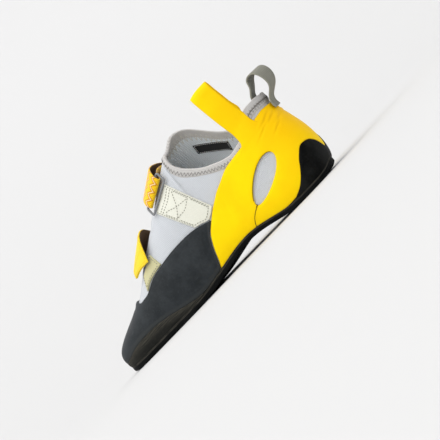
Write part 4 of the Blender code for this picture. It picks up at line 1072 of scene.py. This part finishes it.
toe_patch = skin("toe_patch_rubber", join(join(rear_m, toe[2:]), rear_l), even_rows(44, (0.35, 0.8, 1.5, -0.3, -0.8, -1.6)), patch_out, LIFT, [PATCH])
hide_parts("toe_patch")

# ================================================================ yellow panel round the heel with its oval cut-outs
heel = columns(HEEL + [tuple(-c if k % 2 == 0 else c for k, c in enumerate(r)) for r in reversed(HEEL)][1:], STEP)
side_m = columns(PANEL, STEP)
side_l = [q - G_TOT if k % 2 == 0 else q for k, q in enumerate(columns(mirrored(PANEL), STEP))]
panel_cols = join(join(side_m, heel[2:]), side_l)


def oval_local(y, z):
    """place in the oval's own frame: 1 on its rim"""
    cy, cz, a, b, tilt = OVAL
    ct, st = math.cos(math.radians(tilt)), math.sin(math.radians(tilt))
    u, w = (y - cy) * ct + (z - cz) * st, -(y - cy) * st + (z - cz) * ct
    u = u / a
    return u, w / (b * (1 + 0.18 * np.clip(u, -1.2, 1.2)))


def at_cols(cols, t):
    """seam columns read at fractional places t"""
    i = np.arange(len(cols[0]))
    return [np.interp(t, i, q) for q in cols]


def oval_range(cols, keep):
    """where along the columns the oval begins and ends, for the columns that keep is true of"""
    t = np.linspace(0, len(cols[0]) - 1, 6 * len(cols[0]))
    ga, va, gb, vb = at_cols(cols, t)
    w = np.linspace(0, 1, 121)
    G, V = ga[:, None] * (1 - w) + gb[:, None] * w, va[:, None] * (1 - w) + vb[:, None] * w
    P = S(G, V, 0.0 * G)
    u, q = oval_local(P[..., 1], P[..., 2])
    f = u * u + q * q - 1
    f = np.where(np.broadcast_to(keep(P[..., 0]), f.shape), f, 9.0)
    m = f.min(1)
    hit = np.where(m < 0)[0]
    a, b = hit[0], hit[-1]
    t0 = t[a - 1] + (t[a] - t[a - 1]) * m[a - 1] / (m[a - 1] - m[a])
    t1 = t[b] + (t[b + 1] - t[b]) * m[b] / (m[b] - m[b + 1])
    return t0, t1


def oval_cross(cols, t, inside):
    """fractions across where each column meets the oval's rim"""
    ga, va, gb, vb = at_cols(cols, t)
    w = np.linspace(0, 1, 401)
    G, V = ga[:, None] * (1 - w) + gb[:, None] * w, va[:, None] * (1 - w) + vb[:, None] * w
    P = S(G, V, 0.0 * G)
    u, q = oval_local(P[..., 1], P[..., 2])
    f = u * u + q * q - 1
    wa, wb = np.zeros(len(t)), np.zeros(len(t))
    for i in range(len(t)):
        k = int(np.argmin(f[i]))
        if not inside[i] or f[i, k] >= 0:
            wa[i] = wb[i] = w[k]
            continue
        a = k
        while f[i, a - 1] < 0:
            a -= 1
        b = k
        while f[i, b + 1] < 0:
            b += 1
        wa[i] = w[a] - (w[a] - w[a - 1]) * f[i, a] / (f[i, a] - f[i, a - 1])
        wb[i] = w[b] + (w[b + 1] - w[b]) * f[i, b] / (f[i, b] - f[i, b + 1])
    return wa, wb


RIM_MM = 0.55     # edge thickness of the skived rims
SEAM_Z, SEAM_Y = (12.2, 15.4, 19.0, 22.4, 25.4), (41.6, 43.6, 47.0, 52.0, 58.4)   # seam from the oval's nose to the sole


def panel_surface(G, V, lo, hi, end, P):
    x, y, z = P[..., 0], P[..., 1], P[..., 2]
    u, q = oval_local(y, z)
    rho = np.sqrt(u * u + q * q)
    grad = np.sqrt((u / OVAL[2]) ** 2 + (q / OVAL[3]) ** 2) / np.maximum(rho, 1e-6)
    d_oval = np.maximum(rho - 1, 0) / np.maximum(grad, 1e-6)
    med = x > 0
    edge = np.minimum(np.minimum(hi, end), d_oval)
    d = LIFT + RIM_MM + (PANEL_T - RIM_MM) * rise(edge, 3.2)
    # seam from the oval's nose down to the sole: the piece ahead lies over the one behind
    sy = np.interp(z, SEAM_Z, SEAM_Y)
    below = smooth((29.5 - z) / 3.0)
    d -= 0.42 * np.exp(-((y - sy) / 0.45) ** 2) * below
    d += 0.22 * smooth((sy - y + 0.5) / 1.0) * below * smooth((y - sy + 16) / 12)
    # soft wrinkles between the tab and the heel's back, and where the waist flexes
    s = np.where(med, 1.0, -1.0)
    ax = s * x
    gg = np.abs(G)
    for gc, zc, wg, sl, amp in ((24.0, 69.5, 7.0, -0.35, 0.75), (17.0, 67.5, 6.0, -0.30, 0.70), (11.0, 63.0, 6.0, -0.22, 0.60), (20.0, 58.0, 7.0, -0.40, 0.45), (31.0, 64.0, 8.0, -0.45, 0.40)):
        zl = zc + sl * (gg - gc)
        d += (-amp * hill(z, zl, 1.1) + 0.6 * amp * hill(z, zl + 2.2, 1.3)) * hill(gg, gc, wg)
    d += -0.30 * hill(z - 0.32 * (y - 20), 44.0, 2.6) * hill(y, 22.0, 9.0)
    d += 0.22 * hill(z - 0.32 * (y - 20), 49.0, 3.0) * hill(y, 22.0, 9.0)
    d += -0.26 * hill(y - 0.35 * (z - 40), 36.0, 2.4) * hill(z, 42.0, 12.0)
    return d


OVAL_EDGES = []


def oval_panel(name, cols):
    n0 = len(cols[0])
    rm = oval_range(cols, lambda x: x > 0)
    rl = oval_range(cols, lambda x: x < 0)
    ranges = sorted([rm, rl])
    t, inside = [], []
    last = 0.0
    for t0, t1 in ranges:
        k = np.arange(math.ceil(last), math.floor(t0) + 1)
        k = k[k < t0 - 0.25]
        t += list(k)
        inside += [False] * len(k)
        phi = np.linspace(0, math.pi, 56)
        q = (t0 + t1) / 2 - (t1 - t0) / 2 * np.cos(phi)
        t += list(q)
        inside += [False] + [True] * (len(q) - 2) + [False]
        last = t1 + 0.25
    k = np.arange(math.ceil(last), n0)
    t += list(k)
    inside += [False] * len(k)
    t, inside = np.array(t, float), np.array(inside)
    wa, wb = oval_cross(cols, t, inside)
    # away from the ovals the shared line runs on smoothly
    for i in range(len(t)):
        if not inside[i]:
            d = min([abs(t[i] - e) for r in ranges for e in r])
            e = min([e for r in ranges for e in r], key=lambda e: abs(t[i] - e))
            k = int(np.argmin(np.abs(t - e)))
            w_end = wa[k]
            f = float(smooth(d / 14.0))
            wa[i] = wb[i] = w_end * (1 - f) + 0.5 * f
    ga, va, gb, vb = at_cols(cols, t)
    span = np.maximum(span_of([ga, va, gb, vb]), 0.05)
    for t0, t1 in ranges:
        k = np.where((t > t0 + 0.5) & (t < t1 - 0.5))[0]
        OVAL_EDGES.append((ga[k] * (1 - wb[k]) + gb[k] * wb[k], va[k] * (1 - wb[k]) + vb[k] * wb[k]))
    lowrows = even_rows(22, (0.4, 1.0, -0.2, -0.6, -1.2, -2.2))
    highrows = even_rows(30, (0.2, 0.6, 1.2, 2.2, -0.25, -0.7, -1.4, -2.4))
    parts = []
    mid = S(ga * 0.5 + gb * 0.5, va * 0.5 + vb * 0.5)
    run = np.concatenate([[0], np.cumsum(np.linalg.norm(np.diff(mid, axis=0), axis=1))])
    verts, faces, uvs, eds, base = [], [], [], [], 0
    for rows, w0, w1, which in ((lowrows, np.zeros(len(t)), wa, 0), (highrows, wb, np.ones(len(t)), 1)):
        rows = np.array(rows, float)
        part = np.maximum((w1 - w0) * span, 0.05)
        f = rows[None, :, 0] + rows[None, :, 1] / part[:, None]
        f = np.sort(np.clip(f, 0, 1), axis=1)
        W = w0[:, None] * (1 - f) + w1[:, None] * f
        G, V = ga[:, None] * (1 - W) + gb[:, None] * W, va[:, None] * (1 - W) + vb[:, None] * W
        B3 = S(G, V, 0.0 * G)
        lo, hi = W * span[:, None], (1 - W) * span[:, None]
        rr = np.broadcast_to(run[:, None], G.shape)
        end = np.minimum(rr, run[-1] - rr)
        Po = S(G, V, panel_surface(G, V, lo, hi, end, B3))
        Pi = S(G, V, np.full(G.shape, LIFT))
        n, m = G.shape
        k = n * m
        a = (np.arange(n - 1)[:, None] * m + np.arange(m - 1)[None, :])
        q = np.stack([a, a + m, a + m + 1, a + 1], -1).reshape(-1, 4)
        fs = [q, q[:, ::-1] + k]
        j = np.arange(m - 1)
        fs.append(np.stack([j, j + 1, j + 1 + k, j + k], 1))
        e = (n - 1) * m + j
        fs.append(np.stack([e + 1, e, e + k, e + 1 + k], 1))
        i = np.arange(n - 1)
        touch = inside[:-1] | inside[1:]
        lowwall = np.stack([(i + 1) * m, i * m, i * m + k, (i + 1) * m + k], 1)
        highwall = np.stack([i * m + m - 1, (i + 1) * m + m - 1, (i + 1) * m + m - 1 + k, i * m + m - 1 + k], 1)
        fs.append(lowwall if which == 0 else lowwall[touch])
        fs.append(highwall[touch] if which == 0 else highwall)
        faces.append(np.concatenate(fs) + base)
        verts += [Po.reshape(-1, 3), Pi.reshape(-1, 3)]
        uv = np.stack([rr, lo], -1).reshape(-1, 2)
        ed = np.stack([np.minimum(lo + 6.0 * 0, hi), hi], -1).reshape(-1, 2)
        uvs += [uv, uv]
        eds += [ed, ed]
        base += 2 * k
    return new_object(name, np.concatenate(verts), np.concatenate(faces), [YELLOW], np.concatenate(uvs), np.concatenate(eds), angle=38, merge=0.02)


panel = oval_panel("tension_panel", panel_cols)
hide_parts("tension_rand")

bag = Bag()
for side in (1, -1):
    sz = np.linspace(25.6, 11.6, 12)
    sg = 137.0 - np.array([58.4 if q > 25.4 else float(spline(SEAM_Z, SEAM_Y)(q)) for q in sz])
    P, N = surf_line(np.array([g if side > 0 else G_TOT - g for g in sg]), np.array([v_at(g if side > 0 else G_TOT - g, z) for g, z in zip(sg, sz)]), np.full(len(sg), LIFT + PANEL_T - 0.12))
    bag.add(*tube_mesh(P, 0.34, 8))
for g, v in OVAL_EDGES:         # painted shade: a thin dark line along the upper edge of each oval
    P, N = surf_line(g, v, np.full(len(g), LIFT + PANEL_T - 0.28))
    bag.add(*tube_mesh(P, 0.20, 6))
bag.make("panel_seam_and_oval_shade", SEAM_AND_SHADOW)

cup = skin("heel_cup_rubber", heel[:4], even_rows(26, (0.5, -0.25, -0.7, -1.4)),
           lambda G, V, lo, hi, r, P: LIFT + 0.45 + (RAND_T - 0.45) * rise(np.minimum(hi, np.minimum(r, r.max() - r)), 2.6), LIFT + 0.05, [BLACK])
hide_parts("heel_cup")

# ================================================================ suede anchors with their stitching
ANCHOR_REAR = [
    # g_low  z_low  g_top  z_top
    (131.6,  49.6,  148.5, 81.0),
    (125.6,  48.2,  143.0, 84.5),
    (118.6,  46.0,  137.5, 88.0),
    (113.0,  48.6,  132.0, 92.0),
    (108.4,  51.8,  127.0, 95.5)]
ANCHOR_FRONT = [
    (199.0, 41.4, 194.0, 52.0),
    (191.0, 45.6, 189.0, 55.0),
    (182.0, 47.8, 183.0, 58.0),
    (173.5, 49.2, 177.0, 61.5)]
ar, af = columns(ANCHOR_REAR, 0.7), columns(ANCHOR_FRONT, 0.7)


def suede_out(t):
    def f(G, V, lo, hi, r, P):
        edge = np.minimum(np.minimum(lo, hi), np.minimum(r, r.max() - r))
        d = LIFT + 0.35 + (t - 0.35) * rise(edge, 1.0)
        d -= 0.16 * hill(edge, 2.0, 0.45)
        return d + 0.10 * np.sin(r * 0.35 + lo * 0.12)
    return f


rear_suede = skin("anchor_rear_suede", ar, even_rows(48, (0.2, 0.5, -0.2, -0.5)), suede_out(SUEDE_T), LIFT - 0.3, [CREAM])
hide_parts("anchor_rear")
front_suede = skin("anchor_front_suede", af, even_rows(20, (0.2, 0.5, -0.2, -0.5)), suede_out(SUEDE_T), LIFT - 0.3, [OLIVE])
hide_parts("anchor_front")


def inset_path(cols, pts, d):
    """polyline in a patch's own frame: pts = (share along, share across)"""
    n = len(cols[0]) - 1
    t = np.array([p[0] for p in pts]) * n
    w = np.array([p[1] for p in pts])
    h = np.linspace(0, len(pts) - 1, 24 * (len(pts) - 1) + 1)
    t, w = np.interp(h, np.arange(len(pts)), t), np.interp(h, np.arange(len(pts)), w)
    ga, va, gb, vb = at_cols(cols, t)
    return surf_line(ga * (1 - w) + gb * w, va * (1 - w) + vb * w, d)


bag = Bag()
for pts in ([(0.05, 0.98), (0.05, 0.03)], [(0.95, 0.98), (0.95, 0.03)], [(0.05, 0.86), (0.95, 0.86)], [(0.05, 0.80), (0.95, 0.80)],
            [(0.10, 0.76), (0.90, 0.44)], [(0.10, 0.44), (0.90, 0.76)], [(0.09, 0.76), (0.09, 0.44), (0.91, 0.44), (0.91, 0.76)],
            [(0.09, 0.40), (0.09, 0.05)], [(0.91, 0.40), (0.91, 0.05)], [(0.06, 0.06), (0.5, 0.045), (0.94, 0.06)]):
    P, N = inset_path(ar, pts, LIFT + SUEDE_T)
    stitches(bag, P, N, 1.5, 0.95, 0.27)
bag.make("anchor_rear_stitches", THREAD_C)
bag = Bag()
for pts in ([(0.05, 0.1), (0.95, 0.1)], [(0.94, 0.1), (0.94, 0.97)], [(0.06, 0.1), (0.06, 0.97)]):
    P, N = inset_path(af, pts, LIFT + SUEDE_T)
    stitches(bag, P, N, 1.5, 0.95, 0.27)
bag.make("anchor_front_stitches", THREAD_C)


# ================================================================ straps, tab and loop: tapes with a woven edge
def tape(name, path, thick, mats, step=1.1, fine=17, rounding=0.8, flip=1.0, angle=45, puff=None):
    """flat tape: each path row holds points across its middle surface; mats = [outside, inside]"""
    path = np.array(path, float)
    seg = np.concatenate([[0], np.cumsum(np.linalg.norm(np.diff(path, axis=0), axis=2).max(1))])
    t = np.linspace(0, seg[-1], max(3, int(round(seg[-1] / step)) + 1))
    M = np.stack([np.stack([spline(seg, path[:, j, k])(t) for k in range(3)], 1) for j in range(path.shape[1])], 1)
    u = np.linspace(0, 1, M.shape[1])
    e = np.sin(np.linspace(-math.pi / 2, math.pi / 2, fine)) * 0.5 + 0.5
    e = 0.35 * e + 0.65 * np.linspace(0, 1, fine)
    e = np.unique(np.concatenate([e, [0.012, 0.03, 0.97, 0.988]]))
    F = np.stack([np.stack([spline(u, M[i, :, k])(e) for k in range(3)], 1) for i in range(len(t))])
    n = np.cross(np.gradient(F, axis=0), np.gradient(F, axis=1)) * flip
    n /= np.linalg.norm(n, axis=2)[..., None]
    width = np.linalg.norm(np.diff(F, axis=1), axis=2).sum(1)
    across = e[None, :] * width[:, None]
    edge = np.minimum(across, width[:, None] - across)
    h = thick / 2 * (0.30 + 0.70 * rise(edge, rounding))
    if puff is not None:
        h = h + puff(t[:, None], across, width[:, None])
    P, Q = F + n * h[..., None], F - n * h[..., None]
    nn, m = F.shape[:2]
    uv = np.stack([np.broadcast_to(t[:, None], across.shape), across], -1).reshape(-1, 2)
    faces = sheet_faces(nn, m)
    k = (nn - 1) * (m - 1)
    mi = np.zeros(len(faces), int)
    if len(mats) > 1:
        mi[k:2 * k] = 1
    ed = np.stack([edge, edge], -1).reshape(-1, 2)
    ob = new_object(name, np.concatenate([P.reshape(-1, 3), Q.reshape(-1, 3)]), faces, mats, np.concatenate([uv, uv]), np.concatenate([ed, ed]), angle, merge=0, mat_index=mi)
    return ob, F, n, t, h


def tape_line(F, n, t, h, pts):
    """polyline on a tape's outside: pts = (mm along, share across)"""
    a = np.array([p[0] for p in pts], float)
    w = np.array([p[1] for p in pts], float)
    k = np.linspace(0, len(pts) - 1, 30 * (len(pts) - 1) + 1)
    a, w = np.interp(k, np.arange(len(pts)), a), np.interp(k, np.arange(len(pts)), w)
    m = F.shape[1]
    out, nor = [], []
    wid = np.linspace(0, 1, m)
    for x, s in zip(a, w):
        i = float(np.interp(x, t, np.arange(len(t))))
        i0 = min(int(i), len(t) - 2)
        f = i - i0
        row, nr, hr = F[i0] * (1 - f) + F[i0 + 1] * f, n[i0] * (1 - f) + n[i0 + 1] * f, h[i0] * (1 - f) + h[i0 + 1] * f
        sp = np.concatenate([[0], np.cumsum(np.linalg.norm(np.diff(row, axis=0), axis=1))])
        q = s * sp[-1]
        p = np.array([np.interp(q, sp, row[:, j]) for j in range(3)])
        nn = np.array([np.interp(q, sp, nr[:, j]) for j in range(3)])
        hh = np.interp(q, sp, hr)
        out.append(p + nn * hh)
        nor.append(nn)
    return np.array(out), np.array(nor)


REAR_STRAP = [
    # s     d     y_front y_rear
    (-54.0, 1.6,   1.0,  23.0),
    (-44.0, 1.6,   0.0,  22.5),
    (-34.0, 2.2,  -1.5,  21.0),
    (-24.0, 4.4,  -3.5,  19.0),
    (-14.0, 7.6,  -5.5,  17.0),
    ( -5.0, 9.6,  -7.5,  15.0),
    (  3.0, 9.8,  -9.0,  13.5),
    (  9.0, 8.8, -10.0,  12.5),
    ( 13.2, 6.8, -10.5,  12.0),
    ( 14.2, 4.6, -10.5,  12.0),
    ( 12.2, 3.0, -10.5,  12.0),
    (  7.0, 3.1, -10.0,  12.5),
    (  0.5, 3.8,  -9.0,  13.5),
    ( -8.0, 3.4,  -7.0,  15.5),
]
FRONT_STRAP = [
    # s at the front and rear edge, d at the front and rear edge, y at the front and rear edge
    (-42.0, -42.0, 1.5, 1.5, -52.8, -31.8),
    (-36.0, -36.0, 1.5, 1.5, -53.6, -32.6),
    (-30.0, -30.0, 1.8, 1.9, -54.5, -33.5),
    (-20.0, -20.0, 3.4, 3.7, -55.8, -33.8),
    (-10.0, -10.0, 5.4, 6.2, -56.8, -32.8),
    (  0.5,   0.5, 7.0, 8.4, -58.2, -31.6),
    (  6.5,   9.0, 7.2, 8.8, -59.6, -33.4),
    ( 11.0,  18.0, 6.6, 7.6, -60.8, -36.6),
    ( 14.0,  25.0, 5.6, 6.2, -61.6, -39.8),
    ( 15.5,  29.0, 5.0, 5.4, -62.0, -41.8),
]


def front_path():
    k = np.linspace(0, 1, 4)
    return [[over(yf + (yr - yf) * q, sf + (sr - sf) * q, df + (dr - df) * q) for q in k] for sf, sr, df, dr, yf, yr in FRONT_STRAP]


rear, rF, rn, rt, rh = tape("strap_rear_web", [[over(y, s, d) for y in np.linspace(yf, yr, 4)] for s, d, yf, yr in REAR_STRAP], 1.7, [STRAP, UNDER])
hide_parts("strap_rear")
front, fF, fn, ft, fh = tape("strap_front_web", front_path(), 2.0, [FLAP, UNDER])
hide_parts("strap_front")
bag = Bag()
for F, n, t, h, runs in ((rF, rn, rt, rh, [[(3, 0.10), (3, 0.90), (17, 0.90), (17, 0.10), (3, 0.10)], [(3, 0.10), (17, 0.90)], [(3, 0.90), (17, 0.10)]]),
                         (fF, fn, ft, fh, [[(3, 0.10), (3, 0.90), (15, 0.90), (15, 0.10), (3, 0.10)], [(ft[-1] - 2.2, 0.06), (ft[-1] - 2.2, 0.94)], [(ft[-1] - 14, 0.06), (ft[-1] - 14, 0.94)],
                                           [(ft[-1] - 2.2, 0.93), (ft[-1] - 34, 0.93)]])):
    for r in runs:
        P, N = tape_line(F, n, t, h, r)
        stitches(bag, P, N, 1.4, 0.7, 0.20)
bag.make("strap_stitches", THREAD_Y)


def ring_path(corners, rad=2.2):
    C = [np.array(c, float) for c in corners]
    n, out = len(C), []
    for i in range(n):
        a, b, c = C[i - 1], C[i], C[(i + 1) % n]
        u, w = (a - b) / np.linalg.norm(a - b), (c - b) / np.linalg.norm(c - b)
        p, q = b + u * rad, b + w * rad
        for h in np.linspace(0, 1, 7):
            out.append((1 - h) ** 2 * p + 2 * h * (1 - h) * b + h * h * q)
    return np.array(out)


bag = Bag()
bag.add(*tube_mesh(ring_path([over(-12.9, 10.6, 5.9), over(14.4, 10.6, 5.9), over(14.4, 19.0, 3.1), over(-12.9, 19.0, 3.1)]), 1.0, 12, closed=True))
ring = bag.make("strap_ring_loop", RINGM)
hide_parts("strap_ring")

# side tab: a folded band of the panel's own rubber, its foot running out into the panel
TAB_G = (50.0, 45.4, 40.7, 36.1, 31.5)
TAB_FOOT = (72.0, 72.9, 74.4, 76.4, 78.6)
TAB_SIDE = [
    # part of the height, x added, y added at the front and at the rear edge
    (0.12, 0.0, -0.5, -0.4),
    (0.30, 0.3, -1.2, -0.9),
    (0.55, 0.5, -2.0, -1.6),
    (0.80, 0.2, -3.0, -2.3),
    (0.96, -0.5, -3.6, -2.7),
    (1.00, -2.0, -3.8, -2.8),
    (0.96, -3.5, -3.6, -2.7),
    (0.80, -4.2, -3.0, -2.3),
    (0.55, -4.6, -2.0, -1.6),
    (0.30, -4.9, -1.2, -0.9),
    (0.12, -5.1, -0.5, -0.4),
]
TAB_TOP = (125.0, 126.6)


def tab_path():
    out = []
    k = np.linspace(0, 1, len(TAB_G))
    for up, wide, d in ((-9.0, 11.0, 1.30), (-7.0, 7.0, 1.36), (-5.0, 4.2, 1.42), (-3.0, 2.2, 1.46), (-1.0, 0.8, 1.46), (1.5, 0.15, 1.42), (4.0, 0.0, 1.35), (8.0, 0.0, 1.3)):
        out.append([S(np.array(g), np.array(v_at(g, z + up - 1.2 * (up < 0) * (1 - kk))), np.array(d)) for g, z, kk in
                    zip([a + wide * (0.5 - kk) * 2 * (1.0 if kk < 0.5 else 0.45) for a, kk in zip(TAB_G, k)], TAB_FOOT, k)])
    base = np.array([S(np.array(g), np.array(v_at(g, z + 8.0)), np.array(1.3)) for g, z in zip(TAB_G, TAB_FOOT)])
    flat = base[0] * (1 - k)[:, None] + base[-1] * k[:, None]
    for h, dx, yf, yr in TAB_SIDE:
        row = base * (1 - smooth(h * 1.6)) + (flat + np.array([0.9, 0, 0])) * smooth(h * 1.6)
        row = row + np.stack([dx + 1.3 * math.sin(math.pi * h) + 3.4 * k * h, yf * (1 - k) + yr * k, ((TAB_TOP[0] * (1 - k) + TAB_TOP[1] * k) - base[:, 2]) * h], 1)
        out.append(row)
    for up in (8.0, 3.0):
        out.append([S(np.array(g), np.array(v_at(g, z + up)), np.array(-4.1)) for g, z in zip(TAB_G, TAB_FOOT)])
    return out


tab, tF, tn, tt, th = tape("side_tab_band", tab_path(), 1.35, [YELLOW], step=1.2, rounding=0.7, flip=1.0)
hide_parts("side_tab")

# heel loop
LOOP_W = 19.0
LOOP = [
    # y      z
    (119.6,  95.6),
    (123.2, 101.4),
    (128.6, 104.4),
    (134.4, 103.4),
    (137.65,  98.4),
    (137.6,  91.6),
    (134.6,  86.2),
    (129.8,  82.4),
]


LOOP_TURN = (0.0, 0.45, 0.9, 1.0, 0.95, 0.7, 0.35, 0.1)


def loop_path():
    """the free part of the loop is turned a little about the vertical, as webbing settles"""
    inner = [(float(S(np.array(0.0), np.array(v_at(0.0, z)))[1]) - 6.6, z, 0.0) for z in (76.0, 83.0, 90.0)]
    outer = [(float(S(np.array(0.0), np.array(v_at(0.0, z)))[1]) + d, z, 0.0) for z, d in ((79.0, 4.9), (75.0, 3.5), (70.0, 3.3))]
    out = []
    for y, z, k in inner + [(y, z, k) for (y, z), k in zip(LOOP, LOOP_TURN)] + outer:
        c, s = math.cos(0.36 * k), math.sin(0.36 * k)
        out.append([(x * c + (y - 129.0) * s, 129.0 + (y - 129.0) * c - x * s, z) for x in (-LOOP_W / 2, 0.0, LOOP_W / 2)])
    return out


loop, lF, ln, lt, lh = tape("heel_loop_web", loop_path(), 1.5, [LOOPW], step=1.0, rounding=0.9, fine=25,
                            puff=lambda t, a, w: 0.10 * np.sin(a * 2 * math.pi / 2.3))
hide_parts("heel_loop")

# plain woven label inside the far side of the collar
lab = columns([(G_TOT - 99.0, 93.0, G_TOT - 97.0, 101.5), (G_TOT - 87.0, 83.0, G_TOT - 84.5, 91.5), (G_TOT - 76.0, 73.0, G_TOT - 73.5, 81.0)], 0.8)
label = skin("inner_label", lab, even_rows(10), -WALL - 1.25, -WALL - 0.9, [LABEL])
bag = Bag()
for pts in ([(0.03, 0.08), (0.97, 0.08)], [(0.03, 0.92), (0.97, 0.92)], [(0.03, 0.08), (0.03, 0.92)], [(0.97, 0.08), (0.97, 0.92)]):
    P, N = inset_path(lab, pts, -WALL - 1.28)
    stitches(bag, P, -N, 1.3, 0.5, 0.18)
bag.make("label_stitches", LABEL_EDGE)


# ================================================================ floor, light and camera
def studio():
    """a pale floor that turns up into a backdrop behind the shoe"""
    view_dir = Vector((-math.sin(math.radians(AZ)), math.cos(math.radians(AZ)), 0.0))
    side = Vector((view_dir.y, -view_dir.x, 0.0))
    prof = [(-2.6, 0.0), (0.0, 0.0), (0.34, 0.0)]
    for a in np.linspace(3, 87, 29):
        prof.append((0.34 + 1.5 * math.sin(math.radians(a)), 1.5 * (1 - math.cos(math.radians(a)))))
    prof += [(1.84, 1.52), (1.84, 3.2)]
    verts, faces = [], []
    xs = np.linspace(-2.6, 2.6, 9)
    for d, z in prof:
        for s in xs:
            p = view_dir * d + side * s
            verts.append((p.x, p.y, z))
    m = len(xs)
    for i in range(len(prof) - 1):
        for j in range(m - 1):
            a = i * m + j
            faces.append((a, a + 1, a + 1 + m, a + m))
    me = bpy.data.meshes.new("studio_floor")
    me.from_pydata(verts, [], faces)
    me.shade_smooth()
    ob = bpy.data.objects.new("studio_floor", me)
    bpy.context.scene.collection.objects.link(ob)
    m = Mat("studio_paper", rough=1.0, spec=0.0)
    pl = m.place()
    height = m.xyz(pl)[2]
    n = m.noise(pl, 0.004, 2.0)
    low = m.mix(m.math("MULTIPLY", n, 0.03), FLOOR_TONE, tuple(k * 0.96 for k in FLOOR_TONE))
    m.colour(m.mix(m.ramp(height, 0.0, 500.0), low, WALL_TONE))
    me.materials.append(m.m)
    return ob


FLOOR_TONE, WALL_TONE = (0.600, 0.600, 0.603), (0.622, 0.622, 0.627)
AZ, ROLL = 107.0, 46.5
CAM_Z, DIST = 0.045, 1.60
PX_MM = 1.165            # photograph's pixels per mm
studio()
world = bpy.data.worlds.new("studio_world")
world.use_nodes = True
world.node_tree.nodes["Background"].inputs["Color"].default_value = (1.0, 1.0, 1.0, 1)
world.node_tree.nodes["Background"].inputs["Strength"].default_value = 0.60
bpy.context.scene.world = world


def softbox(name, at, look, size, power, colour=(1, 1, 1)):
    li = bpy.data.lights.new(name, "AREA")
    li.shape = "RECTANGLE"
    li.size, li.size_y = size
    li.energy = power
    li.color = colour
    ob = bpy.data.objects.new(name, li)
    ob.location = at
    ob.rotation_mode = "QUATERNION"
    ob.rotation_quaternion = (Vector(look) - Vector(at)).to_track_quat("-Z", "Y")
    bpy.context.scene.collection.objects.link(ob)
    return ob


FAR = 2.2
softbox("key_light", (0.95 * FAR, -0.30 * FAR, 1.30 * FAR), (0, 0, 0.05), (2.1 * FAR, 1.9 * FAR), 23.0 * FAR ** 2, (1.0, 0.99, 0.97))
softbox("fill_light", (1.1 * FAR, 0.9 * FAR, 0.5 * FAR), (0, 0, 0.05), (1.2 * FAR, 1.2 * FAR), 2.0 * FAR ** 2, (0.97, 0.99, 1.0))
softbox("top_light", (-0.4 * FAR, -0.2 * FAR, 1.4 * FAR), (0, 0, 0.05), (1.5 * FAR, 1.6 * FAR), 11.0 * FAR ** 2)

deep, wide = Vector((-math.sin(math.radians(AZ)), math.cos(math.radians(AZ)), 0.0)), Vector((math.cos(math.radians(AZ)), math.sin(math.radians(AZ)), 0.0))
at = deep * 0.7 + wide * 1.9
to = deep * 1.8 + wide * 0.5
softbox("paper_light", (at.x, at.y, 1.3), (to.x, to.y, 0.7), (1.2, 1.2), 6.0)

cam_data = bpy.data.cameras.new("camera")
cam = bpy.data.objects.new("camera", cam_data)
bpy.context.scene.collection.objects.link(cam)
a = math.radians(AZ)
back = Vector((math.sin(a), -math.cos(a), 0.0))
right = Vector((math.cos(a), math.sin(a), 0.0))
TARGET = Vector((0.0, 0.0, 0.055))
cam.location = TARGET + back * DIST
cam.location.z = CAM_Z
aim = (TARGET - cam.location).normalized()
cam.rotation_mode = "QUATERNION"
q = aim.to_track_quat("-Z", "Y")
from mathutils import Quaternion
cam.rotation_quaternion = Quaternion(aim, math.radians(ROLL)) @ q
cam_data.sensor_width = 36.0
cam_data.lens = 36.0 * (DIST * 1000.0) / (440.0 / PX_MM)
cam_data.shift_x, cam_data.shift_y = 21.0 / 440.0, -5.0 / 440.0
cam_data.clip_start, cam_data.clip_end = 0.01, 50.0
bpy.context.scene.camera = cam
bpy.context.scene.view_settings.view_transform = "Standard"
bpy.context.scene.view_settings.look = "None"
